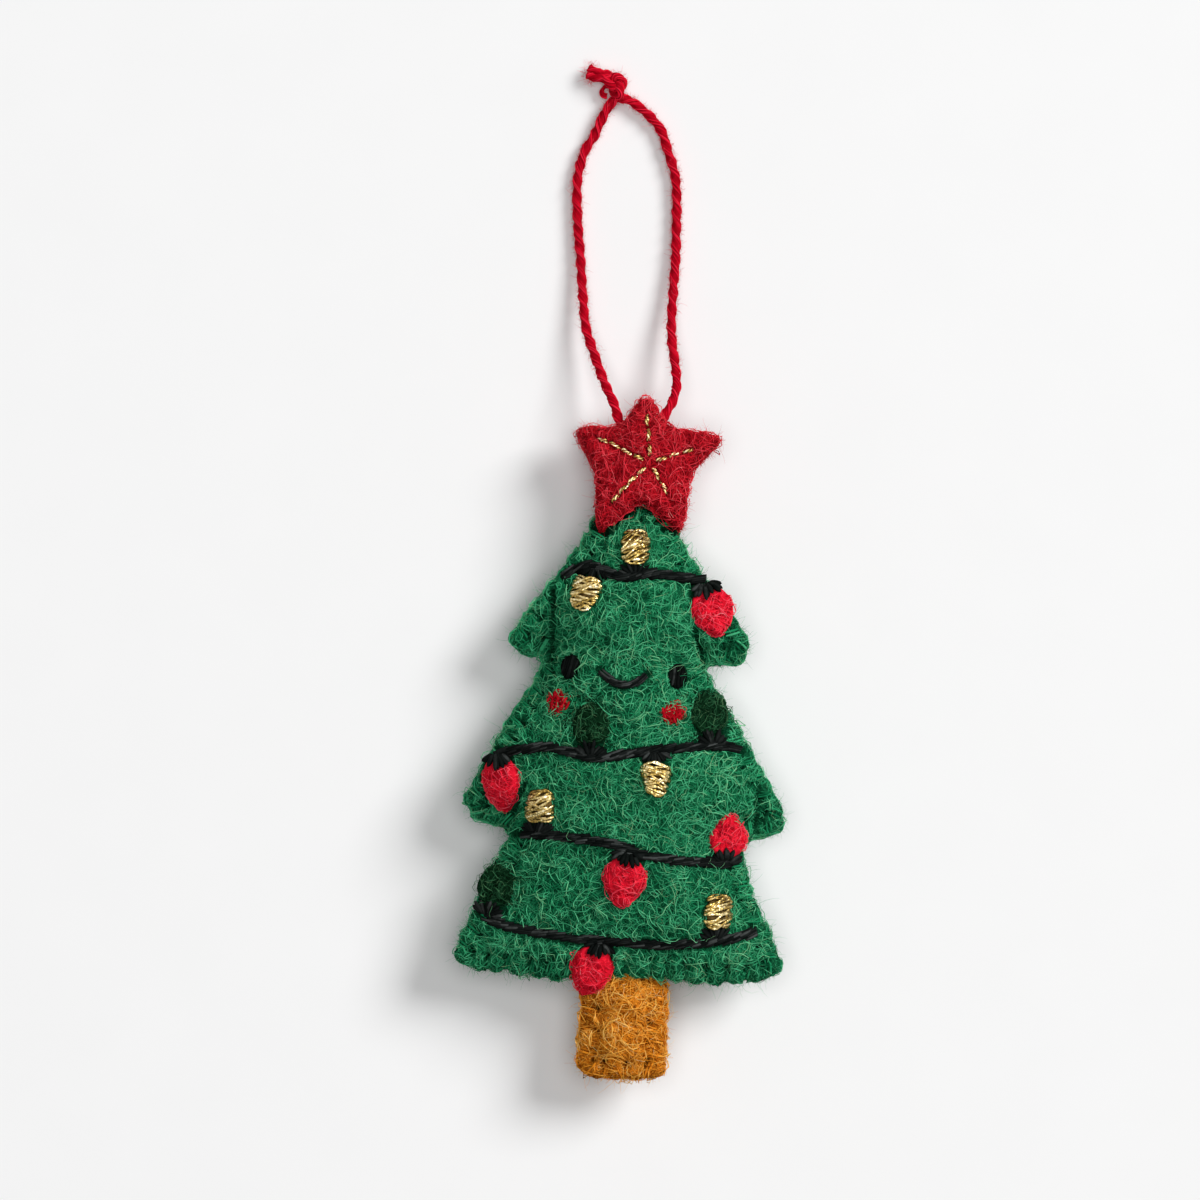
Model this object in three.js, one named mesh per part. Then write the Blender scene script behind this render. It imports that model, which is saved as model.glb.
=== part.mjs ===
import * as THREE from 'three';
import { mergeVertices } from 'three/addons/utils/BufferGeometryUtils.js';

// A stuffed felt christmas tree to hang up, sewn with string lights, a face and a star.
// Sizes are in millimetres. The tree lies on its back: x runs to its right, y up to the star and z out of
// its face. While it is built, y = 0 is the tree's hem and z = 0 is the plane of the seam between its sheets.

const { clamp, degToRad, lerp, smoothstep } = THREE.MathUtils;

// Cloth, thread and the clearance between pieces that touch
const CLEARANCE = 0.3;
const SEAT_CLEARANCE = 0.45;
const FELT = 1.8;
const EDGE_THREAD = 1.2;
const SEAM_MARGIN = 1.4;
// Share of its height that a sewn patch has at its rim
const PATCH_RIM = 0.3;
const THINNEST_FILL = 0.1;

// Tree cushion. Its tiers are given from the hem upwards, as shares: heights and rises are shares of the tree's
// height, and tips and tops are shares of half its width, to the left and to the right of the middle line.
const TREE_HEIGHT = 85.8;
const TREE_WIDTH = 58.8;
const TIER_SHARES = [
  { height: 0.294, tipRise: 0.037, tipLeft: 1, tipRight: 1, topLeft: 0.677, topRight: 0.707 },
  { height: 0.354, tipRise: 0.049, tipLeft: 0.973, tipRight: 0.976, topLeft: 0.531, topRight: 0.429 },
  { height: 0.252, tipRise: 0.037, tipLeft: 0.724, tipRight: 0.707, topLeft: 0.265, topRight: 0.259 },
];
const TIERS = TIER_SHARES.map((tier) => ({
  height: tier.height * TREE_HEIGHT,
  tipRise: tier.tipRise * TREE_HEIGHT,
  tipLeft: (tier.tipLeft * TREE_WIDTH) / 2,
  tipRight: (tier.tipRight * TREE_WIDTH) / 2,
  topLeft: (tier.topLeft * TREE_WIDTH) / 2,
  topRight: (tier.topRight * TREE_WIDTH) / 2,
}));
const NOTCH_RISE = 0.022 * TREE_HEIGHT;
const APEX_RISE = 0.056 * TREE_HEIGHT;
const TIP_CORNER = 0.085 * TREE_WIDTH;
const APEX_HALF_WIDTH = 0.034 * TREE_WIDTH;
const FRONT_PUFF = 9.8;
const FRONT_PUFF_REACH = 15;
const BACK_PUFF = 8;
const BACK_PUFF_REACH = 10;

// Trunk, tucked between the tree's sheets
const TRUNK_X = 1.5;
const TRUNK_DROP = 19;
const TRUNK_TUCK = 7;
const TRUNK_TOP_WIDTH = 13.2;
const TRUNK_BOTTOM_WIDTH = 14.4;
const TRUNK_CORNER = 2.2;
const TRUNK_PUFF = 2.6;
const TRUNK_PUFF_REACH = 6;
const MOUTH_MARGIN = 6;
const MOUTH_EASE = 6;

// Star, placed from the tree's apex. Each point has an angle from +x and shares of the star's reach: how far it
// goes, how long its gold ray is, and how far the notch after it goes.
const STAR_X = 1.7;
const STAR_RISE = 8.7;
const STAR_REACH = 15.6;
const STAR_POINTS = {
  right: { angle: 20, reach: 1, ray: 0.61, notchAngle: 70, notch: 0.565 },
  top: { angle: 92, reach: 0.853, ray: 0.64, notchAngle: 119, notch: 0.577 },
  left: { angle: 162, reach: 1.02, ray: 0.705, notchAngle: 189, notch: 0.603 },
  lower_left: { angle: 239, reach: 1.09, ray: 0.66, notchAngle: 270, notch: 0.487 },
  lower_right: { angle: 298, reach: 0.96, ray: 0.5, notchAngle: 349, notch: 0.526 },
};
const STAR_ROUND = 2.8;
const STAR_PUFF = 2.6;
const STAR_PUFF_REACH = 8;
const STRADDLE_EASE = 6;
const WADDING_HALF_WIDTH = 6.4;
const RAY_THREAD = 0.9;
const RAY_STITCH = 2.6;
const RAY_HUMP = 0.3;
const RAY_START = 1.7;

// String lights. A wire's points are shares: across the tier from edge to edge (-1 to 1) and up its height.
const WIRE = 1.7;
const WIRES = [
  {
    tier: 2,
    points: [[-0.97, 0.63], [-0.65, 0.72], [-0.17, 0.64], [0.3, 0.675], [0.72, 0.65], [1.02, 0.64]],
  },
  {
    tier: 1,
    points: [[-1, 0.41], [-0.6, 0.46], [-0.26, 0.41], [0.08, 0.45], [0.44, 0.49], [0.82, 0.51], [0.96, 0.475]],
  },
  {
    tier: 0,
    points: [[-0.96, 0.985], [-0.57, 0.98], [-0.11, 0.945], [0.17, 0.875], [0.43, 0.845], [0.93, 0.817]],
  },
  {
    tier: 0,
    points: [[-0.96, 0.38], [-0.74, 0.3], [-0.3, 0.24], [0.06, 0.22], [0.27, 0.21], [0.62, 0.25], [0.93, 0.33]],
  },
];
const SOCKET_LENGTH = 1.1;
const SOCKET_WIDTH = 3.8;
const SOCKET_HEIGHT = 1.7;
const BULB_KINDS = {
  red: { length: 8, width: 7.6, height: 3.2, taper: 0.22, material: 'red_wool' },
  small_red: { length: 6.4, width: 6.6, height: 3.2, taper: 0.16, material: 'red_wool' },
  gold: { length: 6, width: 5.5, height: 2, taper: 0.1, material: 'gold_thread' },
  dark_green: { length: 7.4, width: 7, height: 1.8, taper: 0.1, material: 'dark_green_wool' },
};
// Each bulb hangs at a share along a wire. Its turn is the way it points, clockwise from up.
const BULBS = [
  { kind: 'gold', wire: 0, along: 0.52, turn: -2 },
  { kind: 'gold', wire: 0, along: 0.24, turn: -160 },
  { kind: 'red', wire: 0, along: 0.985, turn: 160 },
  { kind: 'dark_green', wire: 1, along: 0.39, turn: -2 },
  { kind: 'dark_green', wire: 1, along: 0.88, turn: -10 },
  { kind: 'gold', wire: 1, along: 0.645, turn: 173 },
  { kind: 'red', wire: 1, along: 0.01, turn: 166 },
  { kind: 'gold', wire: 2, along: 0.08, turn: 7 },
  { kind: 'red', wire: 2, along: 0.51, turn: -172 },
  { kind: 'small_red', wire: 2, along: 0.955, turn: 5 },
  { kind: 'dark_green', wire: 3, along: 0.02, turn: 16 },
  { kind: 'red', wire: 3, along: 0.44, turn: -162 },
  { kind: 'gold', wire: 3, along: 0.85, turn: 4 },
];

// Face, centred between the eyes, at a share of the middle tier's height
const FACE_X = -1;
const FACE_SHARE = 0.94;
const FACE_TILT = -2.8;
const EYE_SPACING = 20;
const EYE_WIDTH = 3.2;
const EYE_LENGTH = 4.6;
const EYE_HEIGHT = 0.9;
const CHEEK_SPACING = 21.3;
const CHEEK_SHIFT = -1;
const CHEEK_DROP = 6.8;
const CHEEK_SIZE = 4.2;
const CHEEK_HEIGHT = 0.6;
const SMILE_WIDTH = 9.8;
const SMILE_DROP = 2.9;
const SMILE_THREAD = 1.4;

// Yarn hanger, threaded through the star's top point
const YARN = 2;
const YARN_RISE = 8.8;
const YARN_OFF_FLOOR = 0.1;
const KNOT_SIZE = { x: 4.2, y: 3.8, z: 4 };
const TAIL_LENGTH = 5;
const TAIL_SPREAD = 2.5;
const TAIL_TURN = 160;
// The yarn's way from the knot round the loop and back: x and y from the star's middle, and the lift above what
// it lies on.
const YARN_ROUTE = [
  [-10, 65, 1.4], [-12.2, 61.5, 1.1], [-14, 57.5, 1.1], [-15, 53, 1.1], [-15, 48.5, 1.1], [-14.5, 42.5, 1.2],
  [-13.8, 36.5, 1.6], [-13.2, 30.5, 2.3], [-12.3, 24.5, 3.4], [-10.5, 19.5, 4.9], [-8.5, 14.5, 6.9],
  [-6.7, 10.9, 9], [-5.3, 9.3, 9.8], [-3.6, 8.8, 9.95], [-0.6, 8.8, 9.95], [2.6, 8.8, 9.95], [4, 9.4, 9.8],
  [4.7, 11.2, 9], [4.9, 14.5, 7.2], [4.5, 18.5, 5.4], [3.7, 23, 3.9], [3.5, 26.5, 3], [3.6, 32.5, 2],
  [3.8, 38.5, 1.4], [3.7, 44.5, 1.1], [3.5, 50.5, 1.1], [2.9, 54.5, 1.1], [1.5, 58.5, 1.1], [-0.6, 62.6, 1.1],
  [-3.4, 65.8, 1.4],
];
const KNOT_PLACE = [-8, 69.4];

// How finely the curved surfaces are faceted
const TREE_COLUMNS = 14;
const CORNER_STEPS = 3;
const EDGE_STEPS = 3;
const TRUNK_COLUMNS = 6;
const TRUNK_ROWS = 5;
const STAR_SEGMENTS = 40;
const STAR_RINGS = 4;
const PATCH_SEGMENTS = 10;
const PATCH_RINGS = 3;
const SOCKET_SEGMENTS = 8;
const THREAD_SIDES = 6;
const YARN_SIDES = 8;
const SEAM_SAMPLE = 1.2;
const TREE_FILL_INSET = 2;
const TRUNK_FILL_INSET = 1;
const SMILE_STEPS = 10;
const YARN_STEPS = 64;
const TAIL_STEPS = 4;
const KNOT_SEGMENTS = 12;
const KNOT_RINGS = 8;

const BACK_DEPTH = CLEARANCE / 2 + FELT + BACK_PUFF;

const materials = {
  green_felt: new THREE.MeshStandardMaterial({ color: '#2b6b3d', roughness: 0.95, metalness: 0 }),
  dark_green_wool: new THREE.MeshStandardMaterial({ color: '#19391f', roughness: 0.95, metalness: 0 }),
  red_felt: new THREE.MeshStandardMaterial({ color: '#a3161f', roughness: 0.95, metalness: 0 }),
  red_wool: new THREE.MeshStandardMaterial({ color: '#c21f30', roughness: 0.95, metalness: 0 }),
  brown_felt: new THREE.MeshStandardMaterial({ color: '#ab6a20', roughness: 0.95, metalness: 0 }),
  gold_thread: new THREE.MeshStandardMaterial({ color: '#c9b15c', roughness: 0.35, metalness: 0.8 }),
  black_thread: new THREE.MeshStandardMaterial({ color: '#161616', roughness: 0.8, metalness: 0 }),
  stuffing: new THREE.MeshStandardMaterial({ color: '#efece4', roughness: 1, metalness: 0 }),
};

const ornament = new THREE.Group();
const hanger = new THREE.Group();

// Closes a geometry's seams and poles, leaving only its corners and faces.
function closed(geometry) {
  geometry.deleteAttribute('normal');
  geometry.deleteAttribute('uv');
  const merged = mergeVertices(geometry, 1e-4);
  const corners = merged.index.array;
  const kept = [];
  for (let k = 0; k < corners.length; k += 3) {
    const [a, b, c] = corners.slice(k, k + 3);
    if (a !== b && b !== c && c !== a) {
      kept.push(a, b, c);
    }
  }
  merged.setIndex(kept);
  merged.computeVertexNormals();
  return merged;
}

function addPiece(group, name, geometry, material) {
  const mesh = new THREE.Mesh(closed(geometry), material);
  mesh.name = name;
  group.add(mesh);
}

// Moves every corner of a geometry to where the function puts it.
function reshape(geometry, place) {
  const position = geometry.attributes.position;
  const corner = new THREE.Vector3();
  for (let k = 0; k < position.count; k += 1) {
    corner.fromBufferAttribute(position, k);
    place(corner);
    position.setXYZ(k, corner.x, corner.y, corner.z);
  }
  return geometry;
}

// A closed round tube along points, faceted in even steps.
function tube(points, diameter, sides, steps) {
  const section = new THREE.Shape();
  for (let k = 0; k < sides; k += 1) {
    const angle = (2 * Math.PI * k) / sides;
    const x = (diameter / 2) * Math.cos(angle);
    const y = (diameter / 2) * Math.sin(angle);
    if (k === 0) {
      section.moveTo(x, y);
    } else {
      section.lineTo(x, y);
    }
  }
  section.closePath();
  const extrudePath = new THREE.CatmullRomCurve3(points, false, 'centripetal');
  return new THREE.ExtrudeGeometry(section, { steps, extrudePath, bevelEnabled: false });
}

// A closed disc with rings, for a patch of cloth or thread: z is 1 on its top and -1 on its underside.
function disc(rings, segments) {
  const profile = [];
  for (let k = 0; k <= rings; k += 1) {
    profile.push(new THREE.Vector2(k / rings, -1));
  }
  for (let k = rings; k >= 0; k -= 1) {
    profile.push(new THREE.Vector2(k / rings, 1));
  }
  return new THREE.LatheGeometry(profile, segments).rotateX(Math.PI / 2);
}

// Even samples along a closed outline.
function sampleOutline(corners, spacing) {
  const path = new THREE.Path(corners);
  path.closePath();
  return path.getSpacedPoints(Math.round(path.getLength() / spacing)).slice(0, -1);
}

// A smooth distance from an outline: the inverse power mean of the distances to its samples, scaled so that
// it equals the plain distance beside a straight edge.
function seamDistance(x, y, samples, spacing) {
  let total = 0;
  for (const sample of samples) {
    const away = Math.max(Math.hypot(x - sample.x, y - sample.y), spacing / 4);
    total += spacing / away ** 5;
  }
  return (0.75 * total) ** -0.25;
}

// Share of its full height that a stuffed sheet has at a distance from its seam: flat over the sewn margin.
function swell(distance, reach) {
  const share = clamp((distance - SEAM_MARGIN) / (reach - SEAM_MARGIN), 0, 1);
  return Math.sin((share * Math.PI) / 2) ** 1.3;
}

// A stuffed sheet on rows and columns. Each level is a row: its y and its reach to the left and right of x = 0.
// The height is that of the sheet's outer face above the seam's plane.
function makeSheet(levels, columnCount, heightAt) {
  const columns = [];
  for (let c = 0; c <= columnCount; c += 1) {
    const share = (2 * c) / columnCount - 1;
    columns.push(0.5 + (share + Math.sin((share * Math.PI) / 2)) / 4);
  }
  const xAt = (level, column) => lerp(-level.left, level.right, column);
  const heights = levels.map((level) => columns.map((column) => heightAt(xAt(level, column), level.y)));
  return { levels, columns, heights, xAt };
}

function sideReach(levels, y) {
  const last = levels.length - 1;
  const above = clamp(levels.findIndex((level) => level.y >= y), 1, last);
  const row = y >= levels[last].y ? last - 1 : above - 1;
  const share = clamp((y - levels[row].y) / (levels[row + 1].y - levels[row].y), 0, 1);
  const left = lerp(levels[row].left, levels[row + 1].left, share);
  const right = lerp(levels[row].right, levels[row + 1].right, share);
  return { row, share, left, right };
}

// Height of the faceted sheet's outer face at a point, level past its edges.
function sheetHeight(sheet, x, y) {
  const { row, share, left, right } = sideReach(sheet.levels, y);
  const across = clamp((x + left) / (left + right), 0, 1);
  const next = clamp(sheet.columns.findIndex((column) => column >= across), 1, sheet.columns.length - 1);
  const between = (across - sheet.columns[next - 1]) / (sheet.columns[next] - sheet.columns[next - 1]);
  const lowerLeft = sheet.heights[row][next - 1];
  const lowerRight = sheet.heights[row][next];
  const upperLeft = sheet.heights[row + 1][next - 1];
  const upperRight = sheet.heights[row + 1][next];
  if (share > between) {
    return lowerLeft + share * (upperLeft - lowerLeft) + between * (upperRight - upperLeft);
  }
  return lowerLeft + between * (lowerRight - lowerLeft) + share * (upperRight - lowerRight);
}

// Splits the underside of a box along the same diagonals as its top, so that stacked slabs lie parallel.
function matchDiagonals(box) {
  const { start, count } = box.groups[box.groups.length - 1];
  const corners = box.index.array;
  for (let k = start; k < start + count; k += 6) {
    const [a, b, d, , c] = corners.slice(k, k + 6);
    corners.set([a, b, c, a, c, d], k);
  }
}

// A slab between a lower and an upper height over part of a sheet's rows and columns.
function sheetSlab(sheet, [firstRow, lastRow], [firstColumn, lastColumn], lower, upper) {
  const box = new THREE.BoxGeometry(1, 1, 1, lastColumn - firstColumn, lastRow - firstRow, 1);
  matchDiagonals(box);
  return reshape(box, (corner) => {
    const c = Math.round(lerp(firstColumn, lastColumn, corner.x + 0.5));
    const r = Math.round(lerp(firstRow, lastRow, corner.y + 0.5));
    const level = sheet.levels[r];
    corner.set(sheet.xAt(level, sheet.columns[c]), level.y, corner.z > 0 ? upper(r, c) : lower(r, c));
  });
}

function frontSheet(sheet) {
  const all = [[0, sheet.levels.length - 1], [0, sheet.columns.length - 1]];
  const outer = (r, c) => sheet.heights[r][c];
  return sheetSlab(sheet, ...all, (r, c) => outer(r, c) - FELT, outer);
}

function backSheet(sheet) {
  const all = [[0, sheet.levels.length - 1], [0, sheet.columns.length - 1]];
  const outer = (r, c) => -sheet.heights[r][c];
  return sheetSlab(sheet, ...all, outer, (r, c) => outer(r, c) + FELT);
}

// What fills the space between a front and a back sheet, over part of their rows and columns.
function filling(front, back, rows, columns) {
  const inside = (height) => Math.max(height - FELT - CLEARANCE, THINNEST_FILL / 2);
  const lower = (r, c) => -inside(back.heights[r][c]);
  const upper = (r, c) => inside(front.heights[r][c]);
  return sheetSlab(front, rows, columns, lower, upper);
}

// Rows of the tree's outline: each tier has a rounded tip and a straight edge, and the apex is round.
function treeLevels() {
  const levels = [];
  let hem = 0;
  let top = 0;
  for (const tier of TIERS) {
    tier.hem = hem;
    for (let k = 0; k <= CORNER_STEPS; k += 1) {
      const inset = TIP_CORNER * (1 - k / CORNER_STEPS) ** 2;
      const y = hem + tier.tipRise * (k / CORNER_STEPS) ** 2;
      levels.push({ y, left: tier.tipLeft - inset, right: tier.tipRight - inset });
    }
    top = hem + tier.height;
    for (let k = 1; k <= EDGE_STEPS; k += 1) {
      const share = k / EDGE_STEPS;
      const y = lerp(hem + tier.tipRise, top, share);
      const left = lerp(tier.tipLeft, tier.topLeft, share);
      const right = lerp(tier.tipRight, tier.topRight, share);
      levels.push({ y, left, right });
    }
    hem = top + NOTCH_RISE;
  }
  const last = levels[levels.length - 1];
  for (let k = 1; k <= CORNER_STEPS; k += 1) {
    const share = k / CORNER_STEPS;
    const y = top + APEX_RISE * (1 - (1 - share) ** 2);
    const left = lerp(last.left, APEX_HALF_WIDTH, share ** 2);
    const right = lerp(last.right, APEX_HALF_WIDTH, share ** 2);
    levels.push({ y, left, right });
  }
  return levels;
}

function outlineOf(levels) {
  const rightSide = levels.map((level) => new THREE.Vector2(level.right, level.y));
  const leftSide = levels.map((level) => new THREE.Vector2(-level.left, level.y));
  return [...rightSide, ...leftSide.reverse()];
}

// How far the tree's sheets part at the hem to take the trunk in.
function mouthOpening(x, y) {
  const flat = TRUNK_TOP_WIDTH / 2 + MOUTH_MARGIN;
  const across = 1 - smoothstep(Math.abs(x - TRUNK_X), flat, flat + MOUTH_EASE);
  const along = 1 - smoothstep(y, TRUNK_TUCK + MOUTH_MARGIN, TRUNK_TUCK + MOUTH_MARGIN + MOUTH_EASE);
  return (FELT + CLEARANCE) * across * along;
}

const levels = treeLevels();
const apexY = levels[levels.length - 1].y;
const treeSeam = sampleOutline(outlineOf(levels), SEAM_SAMPLE);

function treeHeight(x, y, puff, reach) {
  const raised = puff * swell(seamDistance(x, y, treeSeam, SEAM_SAMPLE), reach);
  return CLEARANCE / 2 + FELT + Math.min(Math.hypot(raised, mouthOpening(x, y)), puff);
}

const treeFront = makeSheet(levels, TREE_COLUMNS, (x, y) => treeHeight(x, y, FRONT_PUFF, FRONT_PUFF_REACH));
const treeBack = makeSheet(levels, TREE_COLUMNS, (x, y) => treeHeight(x, y, BACK_PUFF, BACK_PUFF_REACH));

// Rows of the trunk: rounded lower corners, then straight sides up to the tucked end.
function trunkLevels() {
  const rows = [];
  const top = TRUNK_TUCK;
  const halfWidth = (y) => lerp(TRUNK_BOTTOM_WIDTH, TRUNK_TOP_WIDTH, (y + TRUNK_DROP) / (TRUNK_DROP + top)) / 2;
  for (let k = 0; k <= CORNER_STEPS; k += 1) {
    const y = -TRUNK_DROP + TRUNK_CORNER * (k / CORNER_STEPS) ** 2;
    const inset = TRUNK_CORNER * (1 - k / CORNER_STEPS) ** 2;
    rows.push({ y, half: halfWidth(y) - inset });
  }
  for (let k = 1; k <= TRUNK_ROWS; k += 1) {
    const y = lerp(-TRUNK_DROP + TRUNK_CORNER, 0, k / TRUNK_ROWS);
    rows.push({ y, half: halfWidth(y) });
  }
  rows.push({ y: top, half: halfWidth(top) });
  return rows.map(({ y, half }) => ({ y, left: half - TRUNK_X, right: half + TRUNK_X }));
}

const trunkRows = trunkLevels();
const trunkSeam = sampleOutline(outlineOf(trunkRows), SEAM_SAMPLE);

// The trunk is stuffed below the hem and thin where it is tucked in.
function trunkHeight(x, y) {
  const raised = TRUNK_PUFF * swell(seamDistance(x, y, trunkSeam, SEAM_SAMPLE), TRUNK_PUFF_REACH);
  return CLEARANCE / 2 + FELT + raised * smoothstep(-y, CLEARANCE, TRUNK_PUFF_REACH);
}

const trunkSheet = makeSheet(trunkRows, TRUNK_COLUMNS, trunkHeight);

// Height of whatever felt is in front at a point: the tree, or the trunk below its hem.
function feltHeight(x, y) {
  const { left, right } = sideReach(trunkRows, y);
  const overTrunk = y < 0 && y > -TRUNK_DROP && x > -left && x < right;
  const tree = sheetHeight(treeFront, x, Math.max(y, 0));
  return overTrunk ? Math.max(tree, sheetHeight(trunkSheet, x, y)) : tree;
}

// Height at which something lies on the felt with a gap to it, measured square to the felt's slope.
function seatHeight(x, y, gap) {
  const slopeX = (feltHeight(x + gap, y) - feltHeight(x - gap, y)) / (2 * gap);
  const slopeY = (feltHeight(x, y + gap) - feltHeight(x, y - gap)) / (2 * gap);
  return feltHeight(x, y) + gap * Math.hypot(1, slopeX, slopeY);
}

// Overcast thread round an outline, outside it by the clearance. Points that the offset brings too near another
// edge are left out, and so are those that the test drops.
function edgeThread(samples, keep) {
  const away = SEAT_CLEARANCE + EDGE_THREAD / 2;
  const count = samples.length;
  const points = [];
  samples.forEach((sample, k) => {
    const along = samples[(k + 1) % count].clone().sub(samples[(k + count - 1) % count]).normalize();
    const point = new THREE.Vector2(sample.x + along.y * away, sample.y - along.x * away);
    const nearest = Math.min(...samples.map((other) => other.distanceTo(point)));
    if (nearest > away * 0.98 && keep(point)) {
      points.push(new THREE.Vector3(point.x, point.y, 0));
    }
  });
  return points;
}

// Starts a closed list of points at the one after its widest gap.
function fromWidestGap(points) {
  let start = 0;
  let widest = 0;
  points.forEach((point, k) => {
    const gap = point.distanceTo(points[(k + points.length - 1) % points.length]);
    if (gap > widest) {
      widest = gap;
      start = k;
    }
  });
  return [...points.slice(start), ...points.slice(0, start)];
}

function threadRoute(samples, keep) {
  const route = fromWidestGap(edgeThread(samples, keep));
  return route.filter((point, k) => k % 2 === 0 || k === route.length - 1);
}

function addTree() {
  const lastRow = levels.length - 1;
  const firstFilled = levels.findIndex((level) => level.y > TRUNK_TUCK + CLEARANCE);
  const rows = [firstFilled, lastRow - CORNER_STEPS];
  addPiece(ornament, 'tree_front_sheet', frontSheet(treeFront), materials.green_felt);
  addPiece(ornament, 'tree_back_sheet', backSheet(treeBack), materials.green_felt);
  const fill = filling(treeFront, treeBack, rows, [TREE_FILL_INSET, TREE_COLUMNS - TREE_FILL_INSET]);
  addPiece(ornament, 'tree_stuffing', fill, materials.stuffing);
  const gap = TRUNK_TOP_WIDTH / 2 + 2 * (CLEARANCE + EDGE_THREAD);
  const beside = (point) => point.y > 0 || Math.abs(point.x - TRUNK_X) > gap;
  const route = threadRoute(treeSeam, beside);
  const thread = tube(route, EDGE_THREAD, THREAD_SIDES, route.length);
  addPiece(ornament, 'tree_edge_stitching', thread, materials.green_felt);
}

function addTrunk() {
  addPiece(ornament, 'trunk_front_sheet', frontSheet(trunkSheet), materials.brown_felt);
  addPiece(ornament, 'trunk_back_sheet', backSheet(trunkSheet), materials.brown_felt);
  const rows = [CORNER_STEPS, CORNER_STEPS + TRUNK_ROWS - 1];
  const fill = filling(trunkSheet, trunkSheet, rows, [TRUNK_FILL_INSET, TRUNK_COLUMNS - TRUNK_FILL_INSET]);
  addPiece(ornament, 'trunk_stuffing', fill, materials.stuffing);
  const below = (point) => point.y < -CLEARANCE - EDGE_THREAD;
  const route = threadRoute(trunkSeam, below);
  const thread = tube(route, EDGE_THREAD, THREAD_SIDES, route.length);
  addPiece(ornament, 'trunk_edge_stitching', thread, materials.brown_felt);
}

const starMiddle = new THREE.Vector2(STAR_X, apexY + STAR_RISE);

// A point at an angle round the star's middle and a share of the star's reach from it.
function fromStar(angle, share) {
  const reach = new THREE.Vector2(share * STAR_REACH, 0);
  return reach.rotateAround(new THREE.Vector2(), degToRad(angle)).add(starMiddle);
}

// The star's outline: straight edges between its points and notches, with each corner rounded.
function starOutline() {
  const corners = [];
  for (const point of Object.values(STAR_POINTS)) {
    corners.push(fromStar(point.angle, point.reach), fromStar(point.notchAngle, point.notch));
  }
  const path = new THREE.Path();
  corners.forEach((corner, k) => {
    const before = corners[(k + corners.length - 1) % corners.length];
    const after = corners[(k + 1) % corners.length];
    const enter = corner.clone().lerp(before, STAR_ROUND / corner.distanceTo(before));
    const leave = corner.clone().lerp(after, STAR_ROUND / corner.distanceTo(after));
    if (k === 0) {
      path.moveTo(enter.x, enter.y);
    } else {
      path.lineTo(enter.x, enter.y);
    }
    path.quadraticCurveTo(corner.x, corner.y, leave.x, leave.y);
  });
  path.closePath();
  return path;
}

const starPath = starOutline();
const starEdge = starPath.getSpacedPoints(STAR_SEGMENTS).slice(0, -1);
const starSeam = starPath.getSpacedPoints(Math.round(starPath.getLength() / SEAM_SAMPLE)).slice(0, -1);
const yarnY = starMiddle.y + YARN_RISE;
const tipTop = apexY + CLEARANCE + EDGE_THREAD;

// How far each of the star's sheets stands off the seam's plane to clear the tree's tip.
const tipDepths = starEdge.filter((point) => point.y < tipTop);
const tipHeight = ({ x, y }) => Math.max(sheetHeight(treeFront, x, y), sheetHeight(treeBack, x, y));
const straddle = Math.max(...tipDepths.map(tipHeight)) + CLEARANCE;

// Height of the star's inner face: its swell, parted round the tree's tip and round the yarn.
function starInside(x, y) {
  const raised = STAR_PUFF * swell(seamDistance(x, y, starSeam, SEAM_SAMPLE), STAR_PUFF_REACH);
  const overTip = straddle * (1 - smoothstep(y, tipTop + CLEARANCE, tipTop + STRADDLE_EASE));
  const overYarn = (YARN / 2 + CLEARANCE) * smoothstep(y, yarnY - 3 * YARN, yarnY - YARN);
  return CLEARANCE / 2 + Math.hypot(raised, Math.max(overTip, overYarn));
}

function starSheet(side) {
  return reshape(disc(STAR_RINGS, STAR_SEGMENTS), (corner) => {
    const ring = Math.hypot(corner.x, corner.y);
    const segment = Math.round((Math.atan2(corner.y, corner.x) / (2 * Math.PI)) * STAR_SEGMENTS);
    const edge = starEdge[(segment + STAR_SEGMENTS) % STAR_SEGMENTS];
    const place = starMiddle.clone().lerp(edge, ring);
    const outer = corner.z * side > 0;
    corner.set(place.x, place.y, side * (starInside(place.x, place.y) + (outer ? FELT : 0)));
  });
}

function addStar() {
  addPiece(ornament, 'star_front_sheet', starSheet(1), materials.red_felt);
  addPiece(ornament, 'star_back_sheet', starSheet(-1), materials.red_felt);
  const low = tipTop + CLEARANCE;
  const high = yarnY - YARN / 2 - CLEARANCE;
  const wadding = reshape(disc(PATCH_RINGS, PATCH_SEGMENTS), (corner) => {
    const dome = Math.sqrt(Math.max(1 - corner.x ** 2 - corner.y ** 2, 0));
    const x = starMiddle.x + WADDING_HALF_WIDTH * corner.x;
    const y = lerp(low, high, (corner.y + 1) / 2);
    corner.set(x, y, corner.z * dome * (starInside(x, y) - CLEARANCE));
  });
  addPiece(ornament, 'star_wadding', wadding, materials.stuffing);
  for (const [name, point] of Object.entries(STAR_POINTS)) {
    addPiece(ornament, `star_ray_${name}`, goldRay(point), materials.gold_thread);
  }
}

// A row of back stitches from the star's middle towards a point: a thread that humps once a stitch.
function goldRay(point) {
  const start = RAY_START / STAR_REACH;
  const count = Math.max(Math.round(((point.ray - start) * STAR_REACH) / RAY_STITCH), 1);
  const points = [];
  for (let k = 0; k <= 2 * count; k += 1) {
    const place = fromStar(point.angle, lerp(start, point.ray, k / (2 * count)));
    const hump = k % 2 === 1 ? RAY_HUMP : 0;
    const height = starInside(place.x, place.y) + FELT + SEAT_CLEARANCE + RAY_THREAD / 2 + hump;
    points.push(new THREE.Vector3(place.x, place.y, height));
  }
  return tube(points, RAY_THREAD, THREAD_SIDES, 2 * count);
}

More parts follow.
